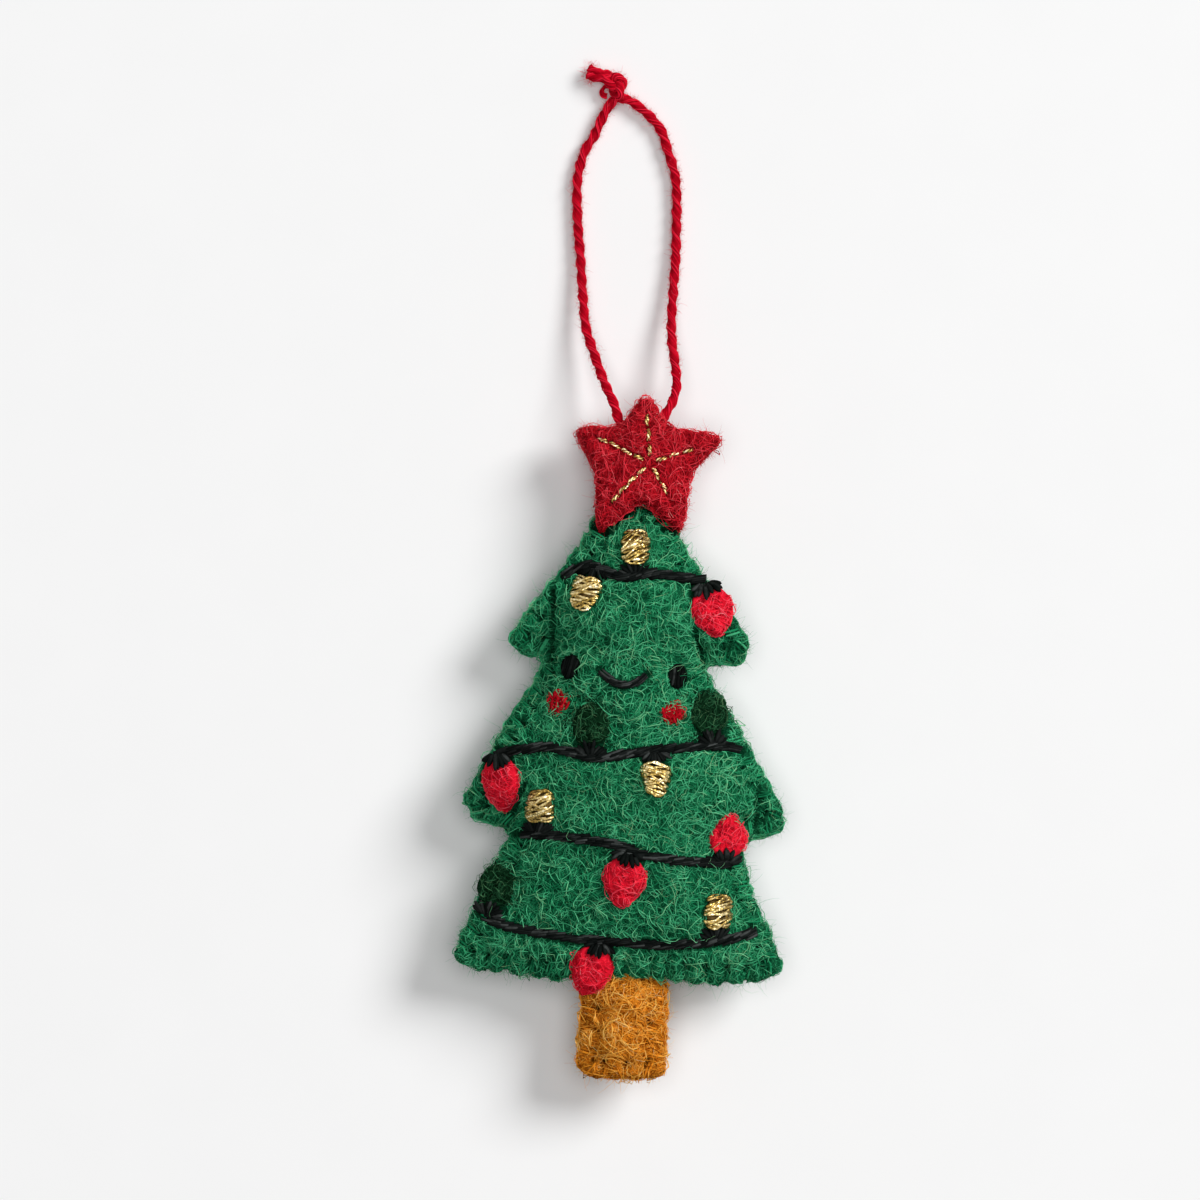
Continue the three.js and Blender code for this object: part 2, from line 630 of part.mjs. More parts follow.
// A patch on the felt: its underside follows the felt and its top is a dome. The place function gives x and y
// for a point of the unit disc.
function feltPatch(rings, segments, height, place) {
  return reshape(disc(rings, segments), (corner) => {
    const dome = Math.sqrt(Math.max(1 - corner.x ** 2 - corner.y ** 2, 0));
    const top = corner.z > 0;
    const spot = place(corner.x, corner.y);
    const seat = seatHeight(spot.x, spot.y, SEAT_CLEARANCE);
    corner.set(spot.x, spot.y, top ? seat + height * lerp(PATCH_RIM, 1, dome) : seat);
  });
}

function sewnThread(points, diameter, steps) {
  const raised = points.map((point) => {
    return new THREE.Vector3(point.x, point.y, seatHeight(point.x, point.y, SEAT_CLEARANCE + diameter / 2));
  });
  return tube(raised, diameter, THREAD_SIDES, steps);
}

function wireCurve(wire) {
  const tier = TIERS[wire.tier];
  const points = wire.points.map(([across, up]) => {
    const y = tier.hem + up * tier.height;
    const { left, right } = sideReach(levels, y);
    return new THREE.Vector2(across < 0 ? across * left : across * right, y);
  });
  return new THREE.SplineCurve(points);
}

function addLights() {
  const curves = WIRES.map(wireCurve);
  curves.forEach((curve, k) => {
    const steps = Math.round(curve.getLength() / (2 * WIRE));
    const wire = sewnThread(curve.getSpacedPoints(steps), WIRE, steps);
    addPiece(ornament, `light_wire_${k + 1}`, wire, materials.black_thread);
  });
  const counts = {};
  for (const bulb of BULBS) {
    counts[bulb.kind] = (counts[bulb.kind] ?? 0) + 1;
    addBulb(bulb, curves[bulb.wire], `${bulb.kind}_bulb_${counts[bulb.kind]}`);
  }
}

// A socket beside the wire and a bulb beyond it, along the way the bulb points. A socket that leans to its wire
// stands off further, so that its round edge clears the wire.
function addBulb(bulb, curve, name) {
  const kind = BULB_KINDS[bulb.kind];
  const anchor = curve.getPointAt(bulb.along);
  const turn = -degToRad(bulb.turn);
  const origin = new THREE.Vector2();
  const fromAnchor = (x, y) => new THREE.Vector2(x, y).rotateAround(origin, turn).add(anchor);
  const lean = Math.asin(curve.getTangentAt(bulb.along).dot(fromAnchor(0, 1).sub(anchor)));
  const edge = Math.hypot(SOCKET_LENGTH * Math.cos(lean), SOCKET_WIDTH * Math.sin(lean)) / 2;
  const socketMiddle = (WIRE / 2 + SEAT_CLEARANCE + edge) / Math.cos(lean);
  const bulbMiddle = socketMiddle + SOCKET_LENGTH / 2 + CLEARANCE + kind.length / 2;
  const socket = feltPatch(1, SOCKET_SEGMENTS, SOCKET_HEIGHT, (x, y) => {
    return fromAnchor((x * SOCKET_WIDTH) / 2, socketMiddle + (y * SOCKET_LENGTH) / 2);
  });
  const egg = feltPatch(PATCH_RINGS, PATCH_SEGMENTS, kind.height, (x, y) => {
    return fromAnchor((x * (1 - kind.taper * y) * kind.width) / 2, bulbMiddle + (y * kind.length) / 2);
  });
  addPiece(ornament, `${name}_socket`, socket, materials.black_thread);
  addPiece(ornament, name, egg, materials[kind.material]);
}

function addFace() {
  const middle = new THREE.Vector2(FACE_X, TIERS[1].hem + FACE_SHARE * TIERS[1].height);
  const fromFace = (x, y) => {
    return new THREE.Vector2(middle.x + x, middle.y + y).rotateAround(middle, degToRad(FACE_TILT));
  };
  for (const [side, sign] of [['left', -1], ['right', 1]]) {
    const eye = feltPatch(PATCH_RINGS, PATCH_SEGMENTS, EYE_HEIGHT, (x, y) => {
      return fromFace((sign * EYE_SPACING + x * EYE_WIDTH) / 2, (y * EYE_LENGTH) / 2);
    });
    const cheek = feltPatch(PATCH_RINGS, PATCH_SEGMENTS, CHEEK_HEIGHT, (x, y) => {
      const across = CHEEK_SHIFT + (sign * CHEEK_SPACING + x * CHEEK_SIZE) / 2;
      return fromFace(across, (y * CHEEK_SIZE) / 2 - CHEEK_DROP);
    });
    addPiece(ornament, `eye_${side}`, eye, materials.black_thread);
    addPiece(ornament, `cheek_${side}`, cheek, materials.red_felt);
  }
  const smile = [-1, -0.6, -0.2, 0.2, 0.6, 1].map((share) => {
    return fromFace((share * SMILE_WIDTH) / 2, SMILE_DROP * (share ** 2 - 1));
  });
  addPiece(ornament, 'smile', sewnThread(smile, SMILE_THREAD, SMILE_STEPS), materials.black_thread);
}

function addHanger() {
  const lowest = -BACK_DEPTH + YARN / 2 + YARN_OFF_FLOOR;
  const route = YARN_ROUTE.map(([x, y, lift]) => {
    const z = Math.min(Math.max(lift - BACK_DEPTH, lowest), 0);
    return new THREE.Vector3(starMiddle.x + x, starMiddle.y + y, z);
  });
  const [knotX, knotY] = KNOT_PLACE;
  const knotZ = KNOT_SIZE.z / 2 - BACK_DEPTH;
  const knotMiddle = new THREE.Vector3(starMiddle.x + knotX, starMiddle.y + knotY, knotZ);
  const meetKnot = (point) => {
    const way = point.clone().sub(knotMiddle).normalize();
    const rim = 0.5 / Math.hypot(way.x / KNOT_SIZE.x, way.y / KNOT_SIZE.y, way.z / KNOT_SIZE.z);
    return knotMiddle.clone().addScaledVector(way, rim + CLEARANCE);
  };
  const ends = [route[0], route[route.length - 1]].map(meetKnot);
  const loop = tube([ends[0], ...route, ends[1]], YARN, YARN_SIDES, YARN_STEPS);
  addPiece(hanger, 'hanging_loop', loop, materials.red_wool);
  const knot = new THREE.SphereGeometry(0.5, KNOT_SEGMENTS, KNOT_RINGS);
  knot.scale(KNOT_SIZE.x, KNOT_SIZE.y, KNOT_SIZE.z);
  knot.translate(knotMiddle.x, knotMiddle.y, knotMiddle.z);
  addPiece(hanger, 'loop_knot', knot, materials.red_wool);
  const outward = new THREE.Vector3(1, 0, 0).applyAxisAngle(new THREE.Vector3(0, 0, 1), degToRad(TAIL_TURN));
  const across = new THREE.Vector3(-outward.y, outward.x, 0);
  for (const [side, sign] of [['upper', -1], ['lower', 1]]) {
    const root = knotMiddle.clone().addScaledVector(outward, KNOT_SIZE.x / 2 + CLEARANCE);
    root.addScaledVector(across, (sign * TAIL_SPREAD) / 2);
    const end = root.clone().addScaledVector(outward, TAIL_LENGTH).setZ(lowest);
    const middle = root.clone().lerp(end, 0.5);
    const tail = tube([root, middle, end], YARN, YARN_SIDES, TAIL_STEPS);
    addPiece(hanger, `loop_tail_${side}`, tail, materials.red_wool);
  }
}

addTree();
addTrunk();
addStar();
addLights();
addFace();
addHanger();

// The origin is under the middle of the ornament without its hanger, on the surface that it lies on.
const middle = new THREE.Box3().setFromObject(ornament).getCenter(new THREE.Vector3());
const felt_ornament = new THREE.Group();
felt_ornament.add(ornament, hanger);
felt_ornament.position.set(-middle.x, -middle.y, BACK_DEPTH);
felt_ornament.updateMatrixWorld(true);

export default felt_ornament;
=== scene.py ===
import functools
import math

import bpy
import numpy as np
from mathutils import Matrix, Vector


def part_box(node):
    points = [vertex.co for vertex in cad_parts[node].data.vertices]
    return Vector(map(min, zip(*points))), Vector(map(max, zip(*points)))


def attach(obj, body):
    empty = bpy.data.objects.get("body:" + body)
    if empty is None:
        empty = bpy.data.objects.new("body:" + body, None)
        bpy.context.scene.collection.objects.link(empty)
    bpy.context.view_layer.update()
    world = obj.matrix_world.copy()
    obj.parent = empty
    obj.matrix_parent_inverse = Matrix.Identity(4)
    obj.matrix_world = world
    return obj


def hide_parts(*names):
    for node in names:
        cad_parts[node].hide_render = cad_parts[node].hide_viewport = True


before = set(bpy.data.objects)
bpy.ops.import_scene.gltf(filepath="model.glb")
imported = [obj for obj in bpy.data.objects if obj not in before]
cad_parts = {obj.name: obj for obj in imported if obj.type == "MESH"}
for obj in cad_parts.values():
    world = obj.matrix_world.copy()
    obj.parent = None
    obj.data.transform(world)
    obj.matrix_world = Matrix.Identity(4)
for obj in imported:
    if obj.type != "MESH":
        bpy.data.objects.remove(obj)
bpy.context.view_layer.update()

# A stuffed felt christmas tree with string lights, a face, a star and a yarn loop. Shapes are worked out in
# millimetres in the tree's own frame: y = 0 is the hem, z = 0 the plane of the seam. put_piece moves them
# to the part's frame and into metres.

MM = 0.001
UP = np.array([0.0, 0.0, 1.0])

# Cloth and clearances, as in the solids
CLEARANCE = 0.3
FELT = 1.8
SEAM_MARGIN = 1.4

# The tree's frame, from the solids
TREE_LOW, TREE_HIGH = (np.array(corner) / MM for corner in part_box("tree_front_sheet"))
TREE_WIDTH, TREE_HEIGHT = (TREE_HIGH - TREE_LOW)[:2]
ORIGIN = np.array([(TREE_LOW[0] + TREE_HIGH[0]) / 2, TREE_LOW[1], TREE_LOW[2] - CLEARANCE / 2])
BACK_DEPTH = ORIGIN[2]

# Tiers from the hem upwards: height, rise of the tips, tips and tops to the left and right, as shares
TIER_SHARES = [
    (0.294, 0.037, 1.0, 1.0, 0.677, 0.707),
    (0.354, 0.049, 0.973, 0.976, 0.531, 0.429),
    (0.252, 0.037, 0.724, 0.707, 0.265, 0.259),
]
NOTCH_RISE = 0.022 * TREE_HEIGHT
APEX_RISE = 0.056 * TREE_HEIGHT
TIP_CORNER = 0.085 * TREE_WIDTH
APEX_HALF_WIDTH = 0.034 * TREE_WIDTH
FRONT_PUFF = 9.8
FRONT_PUFF_REACH = 15
BACK_PUFF = 8
BACK_PUFF_REACH = 10

# Trunk
TRUNK_X = 1.5
TRUNK_DROP = 19
TRUNK_TUCK = 7
TRUNK_TOP_WIDTH = 13.2
TRUNK_BOTTOM_WIDTH = 14.4
TRUNK_CORNER = 2.2
TRUNK_PUFF = 2.6
TRUNK_PUFF_REACH = 6
MOUTH_MARGIN = 6
MOUTH_EASE = 6
# No stitches are on the hem beside the trunk, nor on the trunk close under the hem
TRUNK_BESIDE = 2
HEM_EDGE = 0.5
TRUNK_BARE = 1.5

# Star: each point's angle, reach, ray and following notch
STAR_MIDDLE = np.array([1.7, TREE_HEIGHT + 8.7])
STAR_REACH = 15.6
STAR_POINTS = {
    "right": (20, 1.0, 0.577, 62, 0.48),
    "top": (93.5, 0.885, 0.626, 128.5, 0.5),
    "left": (156.4, 1.0, 0.724, 194, 0.615),
    "lower_left": (239, 1.09, 0.692, 264, 0.44),
    "lower_right": (298, 0.98, 0.47, 348, 0.526),
}
# How far from a corner its rounding starts, at the notches and at each point
NOTCH_ROUND = 2.5
POINT_ROUND = {"right": 2.9, "top": 4.2, "left": 3.3, "lower_left": 2.5, "lower_right": 2.5}
# The rays of stitches meet beside the star's middle, and turn away from the middle of their points, in
# degrees
RAY_SHIFT = np.array([0.45, 0.0])
RAY_TURN = {"right": -1.2, "top": 1.5, "left": -0.7, "lower_left": -10.2, "lower_right": 2.9}
STAR_PUFF = 2.6
STAR_PUFF_REACH = 8
STRADDLE_EASE = 6
RAY_START = 1.2
RAY_STITCH = 2.6
RAY_SHARE = 0.76
RAY_PLY = 0.52
RAY_PITCH = 2.4
RAY_ARCH = 0.9
RAY_SINK = 0.35
TIP_GAP = 1.5
GROOVE_DEPTH = 0.6
GROOVE_WIDTH = 0.8

# Yarn loop: the route of the solid, x and y from the star's middle and the lift above the floor
YARN = 2
YARN_RISE = 8.8
YARN_ROUTE = [
    (-10, 65, 1.4), (-12.2, 61.5, 1.1), (-14, 57.5, 1.1), (-15, 53, 1.1), (-15, 48.5, 1.1),
    (-14.5, 42.5, 1.2), (-13.8, 36.5, 1.6), (-13.2, 30.5, 2.3), (-12.3, 24.5, 3.4), (-10.5, 19.5, 4.9),
    (-8.5, 14.5, 6.9), (-6.7, 10.9, 9), (-5.3, 9.3, 9.8), (-3.6, 8.8, 9.95), (-0.6, 8.8, 9.95),
    (2.6, 8.8, 9.95), (4, 9.4, 9.8), (4.7, 11.2, 9), (4.9, 14.5, 7.2), (4.5, 18.5, 5.4), (3.7, 23, 3.9),
    (3.5, 26.5, 3), (3.6, 32.5, 2), (3.8, 38.5, 1.4), (3.7, 44.5, 1.1), (3.5, 50.5, 1.1),
    (2.9, 54.5, 1.1), (1.5, 58.5, 1.1), (-0.6, 62.6, 1.1), (-3.4, 65.8, 1.4),
]
LEFT_EXIT = 11
RIGHT_EXIT = 17
# Where the yarn goes in under the star's top point, and the rounded top of the loop under the knot
LEFT_ENTRY = [(-4.2, 5.9, 9.95), (-5.2, 6.9, 9.9), (-5.75, 8.2, 9.8)]
RIGHT_ENTRY = [(4.2, 11.4, 9), (3.4, 9.8, 9.8), (2.4, 7.9, 9.95)]
ARCH = [(-12.2, 60.8, 1.1), (-11.0, 63.8, 1.4), (-9.8, 66.2, 1.5), (-8.4, 67.7, 1.5), (-6.4, 67.6, 1.5),
        (-4.1, 66.3, 1.4), (-1.7, 64.3, 1.2), (0.2, 62.0, 1.1)]
YARN_PITCH = 6.2
YARN_STEP = 0.35
# How many strands lie round the core of each length of yarn, and how far out they reach
YARN_STRANDS = {
    "loop": (15, YARN * 0.465),
    "knot": (13, YARN * 0.42),
    "curl": (7, YARN * 0.22),
    "tail": (13, YARN * 0.43),
}
YARN_HAIR = 0.055
YARN_HAIR_TAPER = 0.03
# Steps of the loop's path at each end, inside the star, without hairs, and of a tail's end that is frayed
BARE_END = 30
FRAYED_END = 5
KNOT_SIZE = (2.6, 1.5)
KNOT_TURN = math.radians(125)
KNOT_SHIFT = np.array([-0.85, 1.05, 0.0])
KNOT_WAVE = 0.6
# The ends of the tails and the route of a short curl of one ply, from the star's middle
TAIL_ENDS = {"upper": (-13.8, 73.2), "lower": (-14.1, 71.8)}
CURL_ROUTE = [(-9.8, 70.2), (-10.8, 69.7), (-11.2, 68.9), (-10.9, 68.2), (-10.2, 68.1)]
# How high over the floor the curl and the tails' tips lie
CURL_LIFT = YARN / 2 + 0.3
TAIL_TIP_LIFT = YARN / 2 + 0.4
# How far along the knot the tails leave it, how far apart, and how far they rise and bow on their way
TAIL_ROOT = 0.6
TAIL_APART = 0.8
TAIL_LIFT = 0.2
TAIL_BOW = 0.3

# String lights: the stitches of the wires
STEM_STEP = 1.5
STEM_LENGTH = 3.3
STEM_SLANT = 0.75
SMILE_SLANT = 0.4
STEM_STRANDS = 4
STEM_STRAND = 0.56
STEM_APART = 0.5
STEM_RISE = 0.65
STEM_ARCH = 0.5
STEM_SINK = 1.1
# A wire's tier and its points as shares across the tier and up its height
WIRES = [
    (2, [(-0.97, 0.63), (-0.65, 0.72), (-0.17, 0.64), (0.3, 0.675), (0.72, 0.65), (1.02, 0.64)]),
    (1, [(-1, 0.41), (-0.6, 0.46), (-0.26, 0.41), (0.08, 0.45), (0.44, 0.49), (0.82, 0.51), (0.96, 0.475)]),
    (0, [(-0.96, 0.985), (-0.57, 0.98), (-0.11, 0.945), (0.17, 0.875), (0.43, 0.845), (0.93, 0.817)]),
    (0, [(-0.96, 0.38), (-0.74, 0.3), (-0.3, 0.24), (0.06, 0.22), (0.27, 0.21), (0.62, 0.25), (0.93, 0.33)]),
]
# Bulbs: how long, wide and high each kind is
BULB_KINDS = {
    "red": (8, 7.6, 3.2),
    "small_red": (6.4, 6.6, 3.2),
    "gold": (6, 5.5, 2),
    "dark_green": (7.4, 7, 1.8),
}
# Sockets: how many petals each kind has, how far they fan out, how long and how wide they are
SOCKETS = {
    "red": (9, 1.15, 2.9, 0.95),
    "small_red": (10, 1.2, 3.1, 0.95),
    "gold": (11, 1.25, 2.9, 0.7),
    "dark_green": (9, 1.1, 2.9, 0.85),
}
# How far behind a socket's middle its petals start, how far apart there, how high they lie and arch, and how
# much higher every other one lies; and how far before a socket the wool under it rises again
SOCKET_BACK = 1.7
SOCKET_SPREAD = 0.9
PETAL_LIFT = 0.5
PETAL_ARCH = 0.35
PETAL_LAYER = 0.25
SOCKET_EASE = 1.2
# Padded patches: points round the edge, rings, the size of lumps and how deep the underside lies in the felt
EDGE_POINTS = 48
PATCH_RINGS = 14
PATCH_LUMP_SIZE = 2.4
PATCH_SINK = 0.4
# How long and wide a bulb is against its kind, as a rule and where it differs: one on a branch tip is
# longer and narrower
USUAL_SIZE = (0.96, 0.94)
SLIM = {"red_bulb_2": (1.08, 0.8)}
# How far a bulb's neck runs in under its socket, and how a wool bulb's tip narrows and
# comes to a point
NECKS = {"red": 1.8, "small_red": 1.8, "gold": 0.8, "dark_green": 0.8}
TAPERS = {"red": 0.22, "small_red": 0.16, "dark_green": 0.1}
POINTS = {"red": 0.3, "small_red": 0.25, "dark_green": 0.0}
BULB_COUNTS = {"red": 4, "small_red": 1, "gold": 5, "dark_green": 3}
BULB_SLOTS = {
    "red": "red_wool",
    "small_red": "red_wool",
    "gold": "gold_thread",
    "dark_green": "dark_green_wool",
}
# Wool bulbs: the dome's height against its kind's and its tone, dark as painted shade between the fibres, and
# the fibres over it
WOOL_DOME = 0.92
WOOL_DOME_SHADE_TONE = 0.22
BULB_WOOL = {
    "red_wool": dict(count=420, length=5.0, width=0.2, rise=0.26, pale=0.03, bend=2.2),
    "dark_green_wool": dict(count=420, length=3.6, width=0.15, rise=0.26, pale=0.08, bend=2.4),
}
# Gold bulbs: how much each narrows to its tip, its core's length, width and height and the width and length
# of its wraps against its kind's, and its rows of thread
GOLD_TAPERS = (0.0, 0.2, 0.3, 0.15, 0.0)
GOLD_CORE = (0.9, 0.8, 0.7)
# The core's tone: its dark gold-brown, seen between the wraps, is painted shade of the gaps
GOLD_CORE_SHADE_TONE = 0.9
GOLD_WRAP = (0.98, 0.96)
GOLD_ROWS = 14
GOLD_THREAD = 0.52
GOLD_SQUARE = 2.6

# Face
FACE_TILT = math.radians(-2.8)
EYE_SIZE = (3.2, 4.6)
EYE_HEIGHT = 0.9
EYE_PAD = EYE_HEIGHT * 0.8
EYE_STITCHES = dict(count=9, height=EYE_HEIGHT, thread=0.6, spread=0.02, tones=(0.1, 0.75), ragged=0.03)
CHEEK_SIZE = 4.2
CHEEK_OVAL = (CHEEK_SIZE, CHEEK_SIZE * 0.85)
CHEEK_PAD = (CHEEK_SIZE * 0.85, CHEEK_SIZE * 0.8)
CHEEK_PAD_HEIGHT = 0.7
CHEEK_SLANTS = (0.35, -0.25)
CHEEK_WOOL = dict(count=130, length=2.6, width=0.14, rise=0.36)
CHEEK_STITCHES = dict(count=6, height=0.6, thread=0.5, spread=0.2, square=2.4, tones=(-0.1, 0.15), ragged=0.2)
CHEEK_DARK = 0.25
SMILE_WIDTH = 9.1
SMILE_DROP = 2.5
SMILE_SLENDER = 0.8

# How the felt looks: rounded cut edges, pinched by overcast stitches, and lumpy
RIM = 1.5
STITCH_PITCH = 3.7
EDGE_OUT = 1.05
TRUNK_EDGE_OUT = 0.9
TRUNK_PINCH = 0.4
STAR_EDGE_OUT = -0.3
PINCH_IN = 0.9
PINCH_DOWN = 1.3
PINCH_REACH = 2.0
PINCH_INSET = 1.7
PINCH_MEAN = 0.35
EDGE_REACH = 2.2
LEAST_FELT = 0.04
# On the tree's straight sides the stitches grip less than at its tips and hems, and the edge swells less
SIDE_EASE = 0.5
SIDE_TUCK = 0.4
# The edge counts as a straight side where its way out points upwards by these shares, at first and in full
STRAIGHT_SIDE = (0.05, 0.35)
# How far below the hem the trunk's stitches start to grip, and grip in full
BELOW_HEM = (0.5, 2)
# Where the sewn tree strays from its pattern, most at the branch tips: x, y, how far right and how far down
DROOPS = [(20, 60, 0.1, 1.6), (28, 28, 0.5, 0.9), (-20.5, 60, -0.5, 1.0), (21, 66, 0.8, 0), (25, 16, -0.9, 0),
          (-19, 53, 0.8, 0), (-15, 72, 0.5, 0), (11.5, 76, -0.6, 0), (-11, 0, 0, 1.1), (17, 0, 0, 0.8)]
DROOP_REACH = 6
STITCH_LEAN = 0.8
STITCH_STRAY = 0.18
EDGE_STRAND = 0.45
EDGE_APART = 0.5
TRUNK_STITCH_PITCH = 3.9
STAR_RIM = 1.7
HOLE_INSET = 2.3
HOLE_DEPTH = 1.2
HOLE_SIZE = 0.5
LUMP = 0.3
LUMP_SIZE = 9
SMALL_LUMP_SIZE = 3.2
LUMP_INSET = 3
OUTLINE_STEP = 0.3
FIBRE_POINTS = 6
FIBRE_SINK = 0.08
PALE_WIDTH = 0.6
HAIR_POINTS = 4
# Small pits in the felt: their size and depth, how much darker the fibres in them are painted, as painted
# shade, and a seed
PIT_SIZE = 1.8
PIT_DEPTH = 0.35
PIT_SHADE = 0.25
PIT_SEED = 5
FLOW_SIZE = 6
FLOW_SEED = 8
FLOW_LEAN = math.pi / 2
FLOW_SPREAD = 1.5
# Creases where the branch tips fold away from the stuffed body, each from its upper end down to the notch
CREASES = [
    ((-14.7, 70), (-14.2, 57.5)),
    ((11.8, 64), (13.6, 58)),
    ((-18.3, 34), (-21.6, 26)),
    ((24.7, 35.2), (24.1, 25.4)),
]
CREASE_DEPTH = 3.4
CREASE_WIDTH = 1.0
# Past a crease the branch tip hangs lower: the drop, how far past the crease it is full, its middle above
# the notch, and how far from there it starts to fade and has gone
FLAP_DROP = 1.8
FLAP_EASE = 1.5
FLAP_MIDDLE = 3
FLAP_HALF = (8, 11)
# Fibres are pressed into the felt at stitches and creases; there the felt and the fibres are painted darker,
# as painted shade
PRESS_DEPTH = 0.9
PRESS_SHADE = 0.8
PRESS_FIBRE_SHADE = 0.3
PRESS_STEP = 0.25
PRESS_MARGIN = 3
# A press is full up to one share of its half width and has gone at the other
PRESS_FULL = 0.6
PRESS_END = 1.25
# Steps between the points of what presses: creases and the smile, and other lines
FOLD_STEP = 0.4
LINE_STEP = 0.3
# How wide to each side and how strongly the felt is pressed in and painted darker, as painted shade, by what
# is sewn on or folded; along the star's edge the painted shade stands for the star's shadow on the tree
PRESSES = {
    "edge stitch": (0.4, 0.55),
    "hole": (0.62, 1.0),
    "crease": (0.6, 0.6),
    "wire": (0.9, 0.8),
    "star": (1.2, 1.0),
    "ray": (0.5, 0.5),
}
# Bulbs and eyes press, and paint shade round themselves, as far as these shares of their width
BULB_PRESS = 0.42
BULB_PRESS_STRENGTH = 0.8
EYE_PRESS = 0.52
# Dark green wool round its bulbs: fibres near a circle of this share of the bulb's width
FUZZ_SHARE = 0.5
FUZZ_SPREAD = 0.16
FUZZ_WOOL = dict(count=150, length=2.6, width=0.13, rise=0.6, pale=0.05)
# Fibres of each part's felt: the side, a seed, and how many, long, wide and high they are, how many of them
# are pale and how much they bend. On the front all but the strays are pressed in.
TREE_WOOL = dict(count=4500, length=4.6, width=0.17, rise=0.36, pale=0.02)
STRAY_WOOL = dict(count=240, length=5, width=0.1, rise=0.75, pale=0.5)
FIBRES = {
    "tree": {
        "front_fibres_a": (1, 31, TREE_WOOL),
        "front_fibres_b": (1, 32, TREE_WOOL),
        "front_fibres_c": (1, 37, TREE_WOOL),
        "front_fibres_d": (1, 39, TREE_WOOL),
        "front_strays": (1, 38, STRAY_WOOL),
        "back_fibres": (-1, 33, dict(count=2400, length=4.6, width=0.3, rise=0.3)),
    },
    "star": {
        "front_fibres": (1, 41, dict(count=2900, length=4.6, width=0.16, rise=0.36)),
        "back_fibres": (-1, 42, dict(count=1400, length=4.2, width=0.19, rise=0.24)),
    },
    "trunk": {
        "front_fibres": (1, 44, dict(count=2600, length=5.6, width=0.17, rise=0.42, pale=0.06, bend=1.4)),
        "back_fibres": (-1, 45, dict(count=1000, length=4.6, width=0.18, rise=0.25)),
    },
}
# Hairs round the edges, within a depth of the seam; the star's edge isn't swollen
HAIR_DEPTH = 2.2
EDGE_HAIRS = {
    "tree": dict(count=7400, length=0.75, width=0.05, seed=34),
    "star": dict(count=6000, length=0.55, width=0.05, seed=43, swollen=0.0),
    "trunk": dict(count=1300, length=0.8, width=0.06, seed=46),
}
FIBRE_FINISHES = {"tree": "green_fibre", "star": "red_fibre", "trunk": "brown_fibre"}
# Stuffing: the faces are sewn up slack and then blown up as cloth, in which a millimetre is a centimetre
SLACK = 0.9
SWELL_CAP = 1.6
CLOTH_SCALE = 0.01
CLOTH_FRAMES = 20
CLOTH_PRESSURE = 4.0
CLOTH_MASS = 0.01
# Each stuffed part's felt, the solid inside it and how full it is
STUFFED = {
    "tree": ("green_felt", "tree_stuffing", 0.8),
    "trunk": ("brown_felt", "trunk_stuffing", 0.7),
    "star": ("red_felt", "star_wadding", 0.4),
}
# Rows and columns of the cloth that is blown up, and columns or rings of the felt
TREE_CLOTH = (72, 46)
TRUNK_CLOTH = (34, 26)
STAR_CLOTH = (14, 100)
TREE_COLUMNS = 120
TRUNK_COLUMNS = 64
STAR_RINGS = 34
SIDES = {1: "front", -1: "back"}
# Half the gap between a part's two halves, where nothing is between them
FLOOR_GAP = 0.02

# The photograph: the point of the part at its middle, the width that it shows and how far the tree leans
PHOTO_MIDDLE = (-6.04, 25.7)
PHOTO_SPAN = 222.8
PHOTO_TILT = math.radians(2.344)
CAMERA_HEIGHT = 2000

# Lamps: distance and size in metres, elevation and turn in degrees, and the share of the light on the floor
LAMPS = {
    "window": (6.0, 2.8, 38, 36, 0.48),
    "ceiling": (3.0, 2.4, 90, 0, 0.40),
}
# How bright the sky looks past the floor, and the floor's half width and level, in metres
BACKDROP = 0.92
FLOOR_REACH = 1.5
FLOOR_LEVEL = -0.0003


# Meshes

def put_piece(name, shape, finish, slot, *nodes, body="ornament"):
    """A piece that rides on a body, with its finish and the solids it stands for; the slot is not used. Its
    shape is points in the tree's frame, faces as a list of index arrays of any number of corners, and the
    points' tones."""
    points, faces, tone = shape
    mesh = bpy.data.meshes.new(name)
    corners = np.concatenate([np.ravel(part) for part in faces]).astype(np.int32)
    sizes = np.concatenate([np.full(len(part), part.shape[1]) for part in faces])
    starts = np.concatenate([[0], np.cumsum(sizes)[:-1]]).astype(np.int32)
    mesh.vertices.add(len(points))
    mesh.vertices.foreach_set("co", np.ravel((points + ORIGIN) * MM).astype(np.float32))
    mesh.loops.add(len(corners))
    mesh.polygons.add(len(sizes))
    mesh.polygons.foreach_set("loop_start", starts)
    mesh.polygons.foreach_set("vertices", corners)
    mesh.polygons.foreach_set("use_smooth", np.ones(len(sizes), dtype=bool))
    mesh.update(calc_edges=True)
    layer = mesh.attributes.new("tone", "FLOAT", "POINT")
    layer.data.foreach_set("value", np.ravel(tone).astype(np.float32))
    mesh.materials.append(finish)
    piece = bpy.data.objects.new(name, mesh)
    bpy.context.scene.collection.objects.link(piece)
    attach(piece, body)
    if nodes:
        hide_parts(*nodes)
    return piece


def grid_faces(index):
    """Faces between the rows and columns of an index array, as quads, and as triangles where corners
    coincide."""
    quads = np.stack([index[:-1, :-1], index[:-1, 1:], index[1:, 1:], index[1:, :-1]], -1).reshape(-1, 4)
    low = quads[:, 0] == quads[:, 1]
    high = quads[:, 2] == quads[:, 3]
    parts = [quads[~low & ~high], quads[low][:, [0, 2, 3]], quads[high][:, [0, 1, 2]]]
    return [part for part in parts if len(part)]


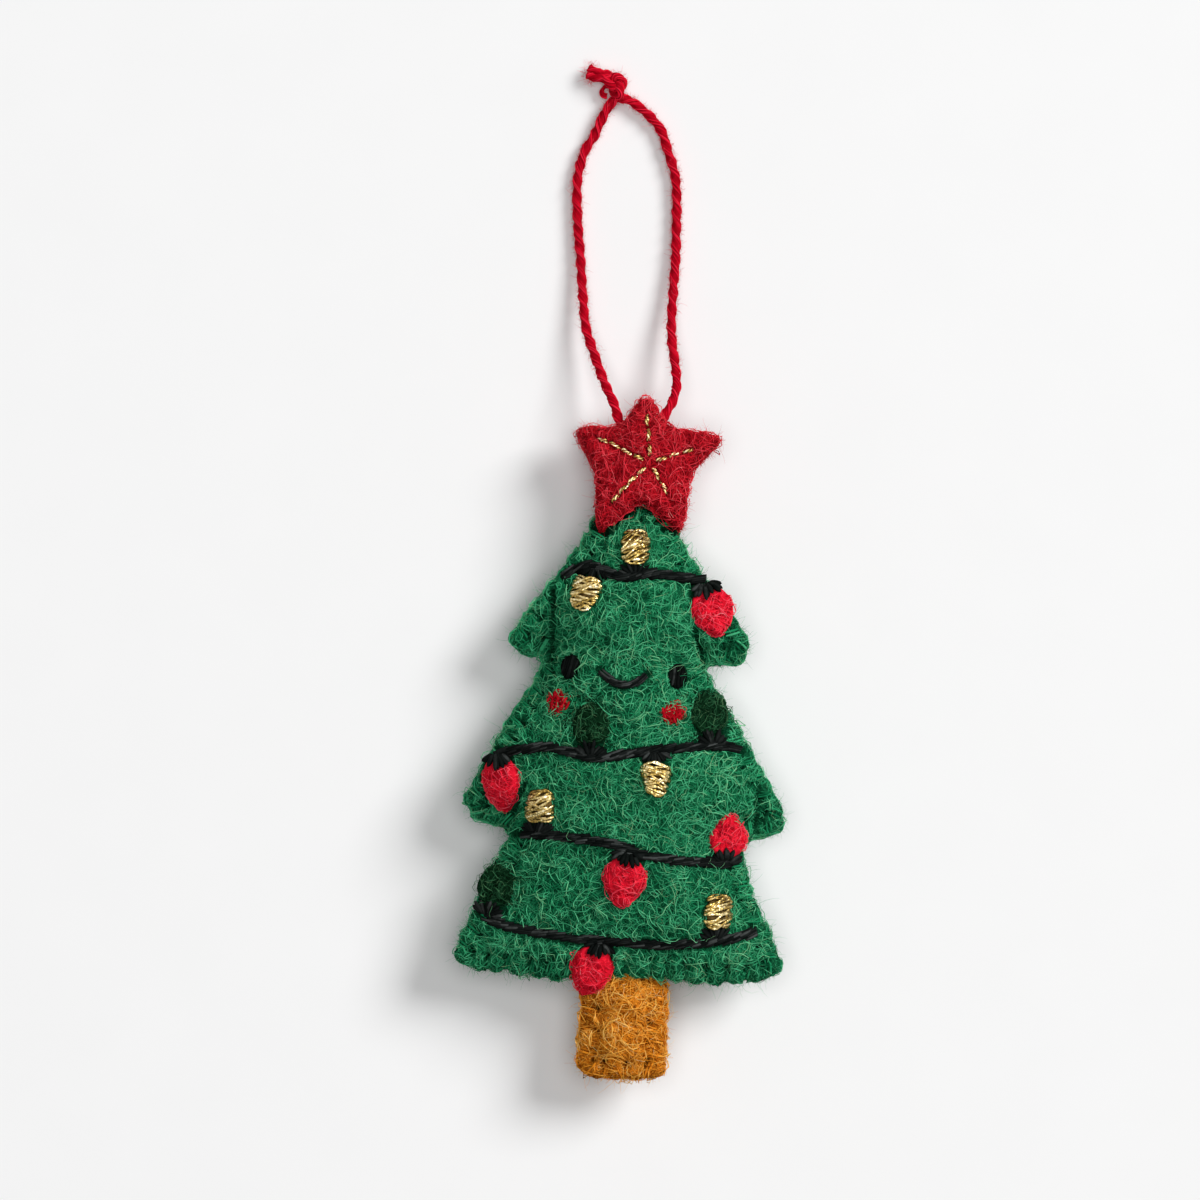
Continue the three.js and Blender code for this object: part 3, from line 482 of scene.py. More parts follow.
def join_shapes(*shapes):
    """Joins (points, faces, tone) shapes into one."""
    points = np.concatenate([shape[0] for shape in shapes])
    tone = np.concatenate([shape[2] for shape in shapes])
    faces = []
    offset = 0
    for shape in shapes:
        faces += [part + offset for part in shape[1]]
        offset += len(shape[0])
    return points, faces, tone


def unit(vectors):
    """Vectors at length one."""
    return vectors / np.maximum(np.linalg.norm(vectors, axis=-1, keepdims=True), 1e-9)


def rightward(way):
    """The way to the right of a way in the plane."""
    return np.array([way[1], -way[0]])


def raised(xy, z):
    """Places over x and y at heights z."""
    return np.concatenate([xy, z[..., None]], -1)


def run_along(path):
    """The length of a path up to each of its points."""
    return np.concatenate([[0], np.cumsum(np.linalg.norm(np.diff(path, axis=0), axis=1))])


def path_frame(paths, up):
    """The ways to the side of paths and up from them, square to them."""
    along = unit(np.gradient(paths, axis=-2))
    side = unit(np.cross(along, np.broadcast_to(up, paths.shape)))
    return side, np.cross(side, along)


def threads(paths, up, width, height, sides, turn=0.0, tone=0.5, crest_painted_shading=0.0):
    """Closed tubes along paths, an array (count, steps, 3). Round each point of a path goes an ellipse:
    width across it, height along up, turned about the path by turn. Width, height, turn and tone spread
    over (count, steps); the last argument paints the tone lighter on the upper side, a painted highlight,
    and darker underneath, painted shade."""
    count, steps = paths.shape[:2]
    side, lift = path_frame(paths, up)
    wide, high, turned = (np.broadcast_to(np.asarray(value, float), (count, steps))[..., None]
                          for value in (width, height, turn))
    angle = 2 * np.pi * np.arange(sides) / sides
    flat = wide / 2 * np.cos(angle)
    tall = high / 2 * np.sin(angle)
    out_side = flat * np.cos(turned) - tall * np.sin(turned)
    out_lift = flat * np.sin(turned) + tall * np.cos(turned)
    round_it = out_side[..., None] * side[:, :, None] + out_lift[..., None] * lift[:, :, None]
    points = paths[:, :, None] + round_it
    index = np.arange(count * steps * sides).reshape(count, steps, sides)
    after = np.roll(index, -1, axis=2)
    quads = np.stack([index[:, :-1], index[:, 1:], after[:, 1:], after[:, :-1]], -1).reshape(-1, 4)
    caps = np.concatenate([index[:, 0], index[:, -1, ::-1]])
    tone = np.asarray(tone, float)
    tones = np.broadcast_to(tone[:, None] if tone.ndim == 1 else tone, (count, steps))
    return points.reshape(-1, 3), [quads, caps], np.ravel(tones[..., None] + crest_painted_shading * np.sin(angle))


def spline(points, step):
    """A smooth curve through points (Catmull-Rom with even knots), sampled evenly by length."""
    points = np.asarray(points, float)
    padded = np.concatenate([[2 * points[0] - points[1]], points, [2 * points[-1] - points[-2]]])
    t = np.linspace(0, 1, 24, endpoint=False)[:, None]
    a, b, c, d = (padded[k:len(points) - 1 + k][:, None] for k in range(4))
    curve = 0.5 * (2 * b + (c - a) * t + (2 * a - 5 * b + 4 * c - d) * t**2 + (3 * b - a - 3 * c + d) * t**3)
    curve = np.concatenate([curve.reshape(-1, points.shape[1]), points[-1:]])
    return even(curve, step)


def even(curve, step):
    """Samples a polyline at even steps of length, keeping both ends."""
    length = run_along(curve)
    places = np.linspace(0, length[-1], max(int(round(length[-1] / step)), 2) + 1)
    return np.stack([np.interp(places, length, curve[:, k]) for k in range(curve.shape[1])], 1)


def rope(path, up, plies, ply_width, ply_offset, pitch, tone, sides, start):
    """Plies laid round a path as helices: each is offset from it by ply_offset at an angle that turns once
    a pitch, and is a round thread."""
    side, lift = path_frame(path, up)
    angle = start + 2 * np.pi * (run_along(path) / pitch + np.arange(plies)[:, None] / plies)
    out = np.cos(angle)[..., None] * side + np.sin(angle)[..., None] * lift
    return threads(path + ply_offset * out, out, ply_width, ply_width, sides, tone=tone)


def smoothstep(value, low, high):
    """Eases from 0 at low to 1 at high."""
    share = np.clip((value - low) / (high - low), 0, 1)
    return share * share * (3 - 2 * share)


def waves(x, y, size, seed):
    """A smooth random field of about one: the sum of plane waves of about that length in random
    directions."""
    rng = np.random.default_rng(seed)
    turn = rng.uniform(0, 2 * np.pi, 20)
    pace = 2 * np.pi / (size * rng.uniform(0.7, 1.6, 20))
    phase = rng.uniform(0, 2 * np.pi, 20)
    field = 0
    for k in range(20):
        field = field + np.cos((x * np.cos(turn[k]) + y * np.sin(turn[k])) * pace[k] + phase[k])
    return field / math.sqrt(10)


# Finishes

def add(tree, kind, inputs=None, **settings):
    """A node with its settings, whose inputs are values or links."""
    node = tree.nodes.new(kind)
    for name, value in settings.items():
        setattr(node, name, value)
    for name, value in (inputs or {}).items():
        socket = node.inputs[name]
        if isinstance(value, bpy.types.NodeSocket):
            tree.links.new(value, socket)
        else:
            socket.default_value = value
    return node


def math_node(tree, operation, first, second=0.0):
    return add(tree, "ShaderNodeMath", {0: first, 1: second}, operation=operation).outputs[0]


def ramp(tree, share, stops):
    """A colour ramp from (place, colour) stops."""
    node = add(tree, "ShaderNodeValToRGB", {"Fac": share})
    elements = node.color_ramp.elements
    while len(elements) < len(stops):
        elements.new(0.5)
    for element, (place, colour) in zip(elements, stops):
        element.position = place
        element.color = (*colour, 1)
    return node.outputs["Color"]


def make_tangle_group():
    """Curly fibres felted together: the thin lines along which three fields of noise cross their mean."""
    group = bpy.data.node_groups.new("fibre_tangle", "ShaderNodeTree")
    group.interface.new_socket("Vector", in_out="INPUT", socket_type="NodeSocketVector")
    group.interface.new_socket("Scale", in_out="INPUT", socket_type="NodeSocketFloat")
    group.interface.new_socket("Lines", in_out="OUTPUT", socket_type="NodeSocketFloat")
    group.interface.new_socket("Cloud", in_out="OUTPUT", socket_type="NodeSocketFloat")
    given = group.nodes.new("NodeGroupInput")
    result = group.nodes.new("NodeGroupOutput")
    lines = None
    for k, (pace, thin) in enumerate(((1.0, 0.035), (1.55, 0.045), (2.3, 0.06))):
        scale = math_node(group, "MULTIPLY", given.outputs["Scale"], pace)
        away = (0.31 * k, 0.17 * k, 0.43 * k)
        shift = add(group, "ShaderNodeVectorMath", {0: given.outputs["Vector"], 1: away}, operation="ADD")
        noise = add(group, "ShaderNodeTexNoise", {"Vector": shift.outputs[0], "Scale": scale, "Detail": 1.0,
                                                  "Roughness": 0.4, "Distortion": 0.7})
        off_mean = math_node(group, "ABSOLUTE", math_node(group, "SUBTRACT", noise.outputs["Fac"], 0.5))
        line = add(group, "ShaderNodeMapRange", {"Value": off_mean, "From Min": 0.0, "From Max": thin,
                                                 "To Min": 1.0, "To Max": 0.0},
                   interpolation_type="SMOOTHSTEP").outputs["Result"]
        lines = line if lines is None else math_node(group, "MAXIMUM", lines, line)
    cloud = add(group, "ShaderNodeTexNoise",
                {"Vector": given.outputs["Vector"], "Scale": 130.0, "Detail": 3.0})
    group.links.new(lines, result.inputs["Lines"])
    group.links.new(cloud.outputs["Fac"], result.inputs["Cloud"])
    return group


def new_material(name):
    material = bpy.data.materials.new(name)
    material.use_nodes = True
    tree = material.node_tree
    tree.nodes.clear()
    shader = tree.nodes.new("ShaderNodeBsdfPrincipled")
    output = tree.nodes.new("ShaderNodeOutputMaterial")
    tree.links.new(shader.outputs["BSDF"], output.inputs["Surface"])
    return material, tree, shader


def felt_finish(name, tangle, deep, plain, light):
    """Felted wool: light fibre lines over a deep ground, cloudy, with the lines standing proud. The ground
    is darker than the fibres laid over it, as painted shade of the crevices between them. Its tone darkens
    it where it is pressed in, as painted shade."""
    material, tree, shader = new_material(name)
    coords = add(tree, "ShaderNodeTexCoord").outputs["Object"]
    fibres = add(tree, "ShaderNodeGroup", node_tree=tangle)
    tree.links.new(coords, fibres.inputs["Vector"])
    fibres.inputs["Scale"].default_value = 620
    ground = ramp(tree, fibres.outputs["Cloud"], [(0.3, deep), (0.7, plain)])
    mixed = add(tree, "ShaderNodeMix", data_type="RGBA")
    tree.links.new(fibres.outputs["Lines"], mixed.inputs[0])
    tree.links.new(ground, mixed.inputs[6])
    mixed.inputs[7].default_value = (*light, 1)
    shaded = add(tree, "ShaderNodeMix", data_type="RGBA", blend_type="MULTIPLY")
    shaded.inputs[0].default_value = 1.0
    tree.links.new(mixed.outputs[2], shaded.inputs[6])
    tree.links.new(add(tree, "ShaderNodeAttribute", attribute_name="tone").outputs["Fac"], shaded.inputs[7])
    tree.links.new(shaded.outputs[2], shader.inputs["Base Color"])
    bump = add(tree, "ShaderNodeBump",
               {"Strength": 0.8, "Distance": 0.0003, "Height": fibres.outputs["Lines"]})
    tree.links.new(bump.outputs["Normal"], shader.inputs["Normal"])
    shader.inputs["Roughness"].default_value = 0.95
    shader.inputs["Specular IOR Level"].default_value = 0.005
    return material


def wool_finish(name, stops, shine=0.01, rough=0.7):
    """Single wool fibres, each with its own tone from dark to light, which also carries painted light and
    shade, and mottled along its length.
    """
    material, tree, shader = new_material(name)
    tone = add(tree, "ShaderNodeAttribute", attribute_name="tone").outputs["Fac"]
    coords = add(tree, "ShaderNodeTexCoord").outputs["Object"]
    mottle = add(tree, "ShaderNodeTexNoise", {"Vector": coords, "Scale": 900.0, "Detail": 2.0}).outputs["Fac"]
    shift = math_node(tree, "MULTIPLY", math_node(tree, "SUBTRACT", mottle, 0.5), 0.35)
    tree.links.new(ramp(tree, math_node(tree, "ADD", tone, shift), stops), shader.inputs["Base Color"])
    bump = add(tree, "ShaderNodeBump", {"Strength": 0.5, "Distance": 0.0002, "Height": mottle})
    tree.links.new(bump.outputs["Normal"], shader.inputs["Normal"])
    shader.inputs["Roughness"].default_value = rough
    shader.inputs["Specular IOR Level"].default_value = shine
    return material


def gold_finish():
    """Metallised film thread: shiny gold, crinkled in small flat facets."""
    material, tree, shader = new_material("gold_thread")
    coords = add(tree, "ShaderNodeTexCoord").outputs["Object"]
    tone = add(tree, "ShaderNodeAttribute", attribute_name="tone").outputs["Fac"]
    facets = add(tree, "ShaderNodeTexVoronoi", {"Vector": coords, "Scale": 1700.0})
    shade = math_node(tree, "MULTIPLY", facets.outputs["Distance"], 0.5)
    colour = ramp(tree, math_node(tree, "SUBTRACT", tone, shade),
                  [(0.0, (0.05, 0.027, 0.004)), (0.4, (0.36, 0.24, 0.058)), (0.75, (0.80, 0.65, 0.32)),
                   (1.0, (1.0, 0.95, 0.75))])
    tree.links.new(colour, shader.inputs["Base Color"])
    bump = add(tree, "ShaderNodeBump",
               {"Strength": 0.7, "Distance": 0.0003, "Height": facets.outputs["Distance"]})
    tree.links.new(bump.outputs["Normal"], shader.inputs["Normal"])
    rough = add(tree, "ShaderNodeMapRange",
                {"Value": facets.outputs["Distance"], "To Min": 0.18, "To Max": 0.4})
    tree.links.new(rough.outputs["Result"], shader.inputs["Roughness"])
    shader.inputs["Metallic"].default_value = 1.0
    return material


def make_finishes():
    """All finishes by name."""
    tangle = make_tangle_group()
    green = [(0.0, (0.001, 0.058, 0.021)), (0.35, (0.015, 0.262, 0.107)), (0.75, (0.100, 0.560, 0.275)),
             (1.0, (0.28, 0.53, 0.26))]
    red = [(0.0, (0.27, 0.002, 0.005)), (0.45, (0.67, 0.013, 0.027)), (0.85, (0.87, 0.055, 0.080)),
           (1.0, (0.92, 0.25, 0.25))]
    crimson = [(0.0, (0.32, 0.002, 0.008)), (0.4, (0.94, 0.015, 0.042)), (0.8, (1.0, 0.063, 0.108)),
               (1.0, (1.0, 0.24, 0.28))]
    yarn = [(0.0, (0.28, 0.001, 0.006)), (0.5, (0.66, 0.004, 0.022)), (0.85, (0.88, 0.024, 0.060)),
            (1.0, (0.95, 0.20, 0.24))]
    ochre = [(0.0, (0.27, 0.052, 0.001)), (0.4, (0.88, 0.312, 0.021)), (0.8, (1.0, 0.550, 0.100)),
             (1.0, (1.0, 0.74, 0.33))]
    pine = [(0.0, (0.001, 0.005, 0.002)), (0.4, (0.005, 0.034, 0.012)), (0.8, (0.034, 0.150, 0.064)),
            (1.0, (0.14, 0.28, 0.13))]
    black = [(0.0, (0.0006, 0.0010, 0.0008)), (0.5, (0.0045, 0.0060, 0.0055)), (0.8, (0.014, 0.0165, 0.0155)),
             (1.0, (0.054, 0.060, 0.058))]
    return {
        # The felt grounds are darker than the fibres over them: painted shade of the crevices between the
        # fibres
        "green_felt": felt_finish("green_felt", tangle, (0.001, 0.035, 0.013), (0.004, 0.075, 0.030),
                                  (0.016, 0.180, 0.075)),
        "red_felt": felt_finish("red_felt", tangle, (0.13, 0.0005, 0.002), (0.26, 0.003, 0.007),
                                (0.50, 0.015, 0.026)),
        "brown_felt": felt_finish("brown_felt", tangle, (0.20, 0.038, 0.0005), (0.46, 0.125, 0.005),
                                  (0.82, 0.31, 0.03)),
        "green_fibre": wool_finish("green_fibre", green),
        "red_fibre": wool_finish("red_fibre", red),
        "brown_fibre": wool_finish("brown_fibre", ochre),
        "red_wool": wool_finish("red_wool", crimson),
        "red_yarn": wool_finish("red_yarn", yarn),
        "dark_green_wool": wool_finish("dark_green_wool", pine),
        "black_thread": wool_finish("black_thread", black, 0.012, 0.5),
        "gold_thread": gold_finish(),
        # The core under the gold wraps: dark gold-brown, painted shade of the gaps between the wraps
        "gold_core": wool_finish("gold_core", [(0.0, (0.035, 0.018, 0.003)), (1.0, (0.20, 0.12, 0.03))], 0.2),
    }


# Stage

def make_camera():
    """Looks straight down on the ornament from far away, turned so that the tree leans as in the
    photograph."""
    data = bpy.data.cameras.new("camera")
    data.lens = data.sensor_width * (CAMERA_HEIGHT - BACK_DEPTH) / PHOTO_SPAN
    data.clip_end = 10
    camera = bpy.data.objects.new("camera", data)
    camera.location = (PHOTO_MIDDLE[0] * MM, PHOTO_MIDDLE[1] * MM, CAMERA_HEIGHT * MM)
    camera.rotation_euler = (0, 0, PHOTO_TILT)
    bpy.context.scene.collection.objects.link(camera)
    bpy.context.scene.camera = camera


def make_stage():
    """A pale floor, a soft lamp at the upper right, one overhead and a little even light from the sky."""
    scene = bpy.context.scene
    scene.view_settings.view_transform = "Standard"
    mesh = bpy.data.meshes.new("floor")
    turns = ((-1, -1), (1, -1), (1, 1), (-1, 1))
    corners = [(x * FLOOR_REACH, y * FLOOR_REACH, FLOOR_LEVEL) for x, y in turns]
    mesh.from_pydata(corners, [], [(0, 1, 2, 3)])
    material, tree, shader = new_material("floor_paper")
    coords = add(tree, "ShaderNodeTexCoord").outputs["Object"]
    grain = add(tree, "ShaderNodeTexNoise", {"Vector": coords, "Scale": 60.0}).outputs["Fac"]
    tree.links.new(ramp(tree, grain, [(0.0, (0.915, 0.915, 0.915)), (1.0, (0.935, 0.935, 0.935))]),
                   shader.inputs["Base Color"])
    shader.inputs["Roughness"].default_value = 1.0
    shader.inputs["Specular IOR Level"].default_value = 0.0
    mesh.materials.append(material)
    floor = bpy.data.objects.new("floor", mesh)
    scene.collection.objects.link(floor)
    left_over = 1.0
    for name, (distance, size, elevation, turn, share) in LAMPS.items():
        lamp = bpy.data.lights.new(name, "AREA")
        lamp.shape = "DISK"
        lamp.size = size
        rise = math.radians(elevation)
        round_it = math.radians(turn)
        away = math.cos(rise)
        way = Vector((away * math.cos(round_it), away * math.sin(round_it), math.sin(rise)))
        lamp.energy = share * math.pi**2 * (distance**2 + size**2 / 4) / way.z
        holder = bpy.data.objects.new(name, lamp)
        holder.location = way * distance
        holder.rotation_euler = way.to_track_quat("Z", "Y").to_euler()
        scene.collection.objects.link(holder)
        left_over -= share
    world = bpy.data.worlds.new("studio")
    world.use_nodes = True
    tree = world.node_tree
    tree.nodes.clear()
    rays = add(tree, "ShaderNodeLightPath").outputs
    seen = math_node(tree, "MAXIMUM", rays["Is Camera Ray"], rays["Is Glossy Ray"])
    seen = math_node(tree, "MAXIMUM", seen, rays["Is Transmission Ray"])
    strength = add(tree, "ShaderNodeMapRange", {"Value": seen, "To Min": left_over, "To Max": BACKDROP})
    sky = add(tree, "ShaderNodeBackground", {"Color": (1, 1, 1, 1), "Strength": strength.outputs["Result"]})
    output = tree.nodes.new("ShaderNodeOutputWorld")
    tree.links.new(sky.outputs["Background"], output.inputs["Surface"])
    scene.world = world


# Outlines and felt sheets

class Outline:
    """A closed outline, run anticlockwise: even samples, their places along it and the way out at each."""

    def __init__(self, corners):
        loop = np.concatenate([corners, corners[:1]])
        self.points = even(loop, OUTLINE_STEP)[:-1]
        self.step = np.linalg.norm(self.points[1] - self.points[0])
        self.place = np.arange(len(self.points)) * self.step
        self.length = len(self.points) * self.step
        along = unit(np.roll(self.points, -2, axis=0) - np.roll(self.points, 2, axis=0))
        self.out = np.stack([along[:, 1], -along[:, 0]], 1)

    def measure(self, x, y):
        """For each point: the distance to the nearest sample, that sample's number, and a smooth distance,
        the inverse power mean of all distances, scaled to equal the plain one beside a straight edge."""
        flat = np.stack([np.ravel(x), np.ravel(y)], 1)
        near = np.empty(len(flat))
        number = np.empty(len(flat), dtype=int)
        smooth = np.empty(len(flat))
        for start in range(0, len(flat), 3000):
            part = slice(start, start + 3000)
            away = np.linalg.norm(flat[part, None] - self.points[None], axis=2)
            number[part] = np.argmin(away, axis=1)
            near[part] = np.min(away, axis=1)
            smooth[part] = (0.75 * np.sum(self.step / np.maximum(away, self.step) ** 5, axis=1)) ** -0.25
        shape = np.shape(x)
        return near.reshape(shape), number.reshape(shape), smooth.reshape(shape)

    def at(self, place):
        """The point and the way out at places along the outline."""
        number = np.round(place / self.step).astype(int) % len(self.points)
        return self.points[number], self.out[number]


def swell(distance, reach):
    """Share of its full height that a stuffed sheet has at a distance from its seam: an eased quarter
    sine."""
    share = np.clip((distance - SEAM_MARGIN) / (reach - SEAM_MARGIN), 0, 1)
    return np.sin(share * np.pi / 2) ** 1.3


def droop(x, y):
    """How far the tree's felt strays to the right and down from its pattern: a bell round each place."""
    moved = 0
    for place_x, place_y, right, down in DROOPS:
        bell = np.exp(-(((x - place_x) / DROOP_REACH) ** 2) - ((y - place_y) / DROOP_REACH) ** 2)
        moved = moved + bell[..., None] * np.array([right, -down])
    return moved


class Felt:
    """One face of a stuffed piece on a grid of rows and columns: base holds x and y, outer the places, and
    find gives the row and column of a point."""

    def __init__(self, base, outer, find, side):
        self.base = base
        self.outer = outer
        self.find = find
        down = np.gradient(outer, axis=0)
        across = np.gradient(outer, axis=1)
        self.normal = unit(np.cross(across, down))
        self.normal = self.normal * np.sign(np.sum(self.normal[..., 2] * side))
        if np.allclose(outer[0], outer[0, 0]):
            self.normal[0] = (0, 0, side)

    def sample(self, grid, rows, columns):
        """A grid's values between its rows and columns, blended by the shares."""
        row = np.clip(rows.astype(int), 0, grid.shape[0] - 2)
        column = np.clip(columns.astype(int), 0, grid.shape[1] - 2)
        down = np.clip(rows - row, 0, 1)[..., None]
        across = np.clip(columns - column, 0, 1)[..., None]
        near = grid[row, column] * (1 - across) + grid[row, column + 1] * across
        far = grid[row + 1, column] * (1 - across) + grid[row + 1, column + 1] * across
        return near * (1 - down) + far * down

    def seat(self, x, y, lift):
        """Places on the face at x and y, raised along its normal, and that normal."""
        rows, columns = self.find(x, y)
        normal = unit(self.sample(self.normal, rows, columns))
        return self.sample(self.outer, rows, columns) + lift[..., None] * normal, normal

    def scatter(self, count, rng):
        """Random points of the face, even by area."""
        a = self.outer[1:, 1:] - self.outer[:-1, :-1]
        b = self.outer[1:, :-1] - self.outer[:-1, 1:]
        area = np.ravel(np.linalg.norm(np.cross(a, b), axis=-1))
        cell = rng.choice(len(area), count, p=area / area.sum())
        rows, columns = np.divmod(cell, self.outer.shape[1] - 1)
        return self.sample(self.base, rows + rng.random(count), columns + rng.random(count))


def stitch_marks(outline, pitch, seed):
    """Places of the overcast stitches along an outline: a pitch apart, each a little off."""
    rng = np.random.default_rng(seed)
    count = int(round(outline.length / pitch))
    return (np.arange(count) + rng.uniform(-STITCH_STRAY, STITCH_STRAY, count)) * outline.length / count


def pinched(outline, marks, base, height, floor, side, lump_seed, pinch, edge_out, rim):
    """A felt face: from its floor at the rim, rounded, up to the height. The edge swells out, and at each
    stitch it is drawn in and the face down, with a small hole; lumps lie all over."""
    x, y = base[..., 0], base[..., 1]
    near, number, _ = outline.measure(x, y)
    place = outline.place[number]
    around = np.concatenate([[marks[-1] - outline.length], marks, [marks[0] + outline.length]])
    turn = np.interp(place, around, np.arange(-1, len(marks) + 1))
    grip = pinch * np.cos(np.pi * turn) ** 4
    rounded = np.sqrt(1 - (1 - np.clip(near / rim, 0, 1)) ** 2)
    inner = smoothstep(near, 0, LUMP_INSET)
    lumps = waves(x, y, LUMP_SIZE, lump_seed) + 0.5 * waves(x, y, SMALL_LUMP_SIZE, lump_seed + 1)
    lumps = LUMP * lumps * inner
    drawn = PINCH_DOWN * (grip - PINCH_MEAN * pinch) * np.exp(-(((near - PINCH_INSET) / PINCH_REACH) ** 2))
    aside = (turn - np.round(turn)) * outline.length / len(marks)
    hole = pinch * HOLE_DEPTH * np.exp(-((near - HOLE_INSET) ** 2 + aside**2) / (2 * HOLE_SIZE**2))
    z = floor + (height - floor + lumps - drawn - hole) * rounded
    z = np.maximum(z, floor + LEAST_FELT)
    draw = (edge_out - PINCH_IN * grip) * np.exp(-((near / EDGE_REACH) ** 2))
    moved = base + draw[..., None] * outline.out[number] + droop(x, y)
    return raised(moved, side * z)


def grooves(x, y, lines, depth, width, fade=0.0):
    """Depth of grooves along lines, given by their ends: a bell across each line, which fades towards its
    start."""
    deepest = np.zeros(x.shape)
    for start, end in lines:
        along = np.subtract(end, start)
        share = np.clip(((x - start[0]) * along[0] + (y - start[1]) * along[1]) / np.dot(along, along), 0, 1)
        away = np.hypot(x - start[0] - share * along[0], y - start[1] - share * along[1])
        deepest = np.maximum(deepest, depth * share**fade * np.exp(-((away / width) ** 2)))
    return deepest


def flaps(x, y):
    """How far the branch tips hang lower past their creases: the drop eases in on the outer side of each
    crease and is full along its lower half."""
    drop = np.zeros(x.shape)
    for start, end in CREASES:
        outward = np.sign(start[0])
        share = np.clip((y - start[1]) / (end[1] - start[1]), 0, 1.3)
        past = outward * (x - start[0] - share * (end[0] - start[0]))
        beside = 1 - smoothstep(np.abs(y - end[1] - FLAP_MIDDLE), *FLAP_HALF)
        beside = smoothstep(share, 0, 0.5) * beside
        drop = np.maximum(drop, FLAP_DROP * smoothstep(past, 0, FLAP_EASE) * beside)
    return drop


def thinned(count, kept):
    """About that many numbers up to count, with both ends."""
    return np.unique(np.round(np.linspace(0, count - 1, kept)).astype(int))


def blown_up(base, heights, kept, wrap):
    """Heights of a cushion's front and back after stuffing. Every few rows and columns of the two faces,
    sewn together along their rim, are blown up as cloth from the heights given. The rim stays, no point
    rises by more than SWELL_CAP, and the rise is spread evenly between the rows and columns."""
    rows, columns = (thinned(base.shape[k], kept[k]) for k in range(2))
    pick = np.ix_(rows, columns[:-1] if wrap else columns)
    shape = base[pick].shape[:2]
    count = shape[0] * shape[1]
    front = np.arange(count).reshape(shape)
    back = front + count
    rim = np.zeros(shape, dtype=bool)
    rim[-1] = True
    if wrap:
        front[0] = front[0, 0]
        back[0] = back[0, 0]
    else:
        rim[0] = True
        rim[:, [0, -1]] = True
    back[rim] = front[rim]
    points = np.zeros((2 * count, 3))
    for number, side in enumerate((1, -1)):
        level = np.where(rim, 0.0, side * heights[number][pick])
        points[number * count:][:count] = raised(base[pick], level).reshape(-1, 3)
    if wrap:
        front, back = (np.concatenate([index, index[:, :1]], 1) for index in (front, back))
    up = front[:, ::-1] if wrap else front
    down = back if wrap else back[:, ::-1]
    faces = [part.tolist() for part in grid_faces(up) + grid_faces(down)]
    mesh = bpy.data.meshes.new("stuffed_cloth")
    mesh.from_pydata((points * CLOTH_SCALE).tolist(), [], sum(faces, []))
    cloth = bpy.data.objects.new("stuffed_cloth", mesh)
    bpy.context.scene.collection.objects.link(cloth)
    sewn = cloth.vertex_groups.new(name="sewn")
    sewn.add([int(number) for number in np.arange(count).reshape(shape)[rim]], 1.0, "REPLACE")
    stuffing = cloth.modifiers.new("stuffing", "CLOTH")
    stuffing.settings.mass = CLOTH_MASS
    stuffing.settings.use_pressure = True
    stuffing.settings.uniform_pressure_force = CLOTH_PRESSURE
    stuffing.settings.vertex_group_mass = "sewn"
    stuffing.settings.effector_weights.gravity = 0.0
    stuffing.collision_settings.use_collision = False
    stuffing.point_cache.frame_start = 1
    stuffing.point_cache.frame_end = CLOTH_FRAMES
    for number in range(1, CLOTH_FRAMES + 1):
        bpy.context.scene.frame_set(number)
    result = cloth.evaluated_get(bpy.context.evaluated_depsgraph_get()).data
    places = np.empty(len(result.vertices) * 3, dtype=np.float32)
    result.vertices.foreach_get("co", places)
    places = places.reshape(-1, 3) / CLOTH_SCALE
    bpy.data.objects.remove(cloth)
    bpy.data.meshes.remove(mesh)
    bpy.context.scene.frame_set(1)
    risen = []
    for number, (side, index) in enumerate(((1, front), (-1, back))):
        rise = np.clip(side * (places[index] - points[index])[..., 2], 0, SWELL_CAP)
        across = np.stack([np.interp(np.arange(base.shape[1]), columns, line) for line in rise])
        full = np.stack([np.interp(np.arange(base.shape[0]), rows, line) for line in across.T], 1)
        risen.append(heights[number] + full)
    return risen


def pressed(low, high, marks):
    """A field that is 1 where felt is pressed in and 0 elsewhere, as a function of x and y; it sets both how
    deep fibres dive there and how dark the painted shade is. Each mark is its points, the half width round
    them and its strength. The field is kept on a fine grid."""
    x, y = (np.arange(low[k] - PRESS_MARGIN, high[k] + PRESS_MARGIN, PRESS_STEP) for k in range(2))
    grid_x, grid_y = np.meshgrid(x, y, indexing="ij")
    field = np.zeros(grid_x.shape)
    for points, reach, strength in marks:
        away = np.full(grid_x.shape, 1e3)
        for start in range(0, len(points), 30):
            part = points[start:start + 30]
            far = np.hypot(grid_x[..., None] - part[:, 0], grid_y[..., None] - part[:, 1])
            away = np.minimum(away, far.min(-1))
        field = np.maximum(field, strength * (1 - smoothstep(away, PRESS_FULL * reach, PRESS_END * reach)))

    def share(px, py):
        row = np.clip(np.round((px - x[0]) / PRESS_STEP).astype(int), 0, len(x) - 1)
        column = np.clip(np.round((py - y[0]) / PRESS_STEP).astype(int), 0, len(y) - 1)
        return field[row, column]

    return share


def seam_marks(outline, marks, keep):
    """Points of the stitches round an edge where they press the felt in and it is painted darker, as painted
    shade: the hole, and a line from it to the edge."""
    point, out = outline.at(marks)
    chosen = keep(point)
    inset = np.linspace(0.2, HOLE_INSET, 5)[:, None, None]
    line = (point[chosen] - inset * out[chosen]).reshape(-1, 2)
    hole = point[chosen] - HOLE_INSET * out[chosen]
    return [(line, *PRESSES["edge stitch"]), (hole, *PRESSES["hole"])]


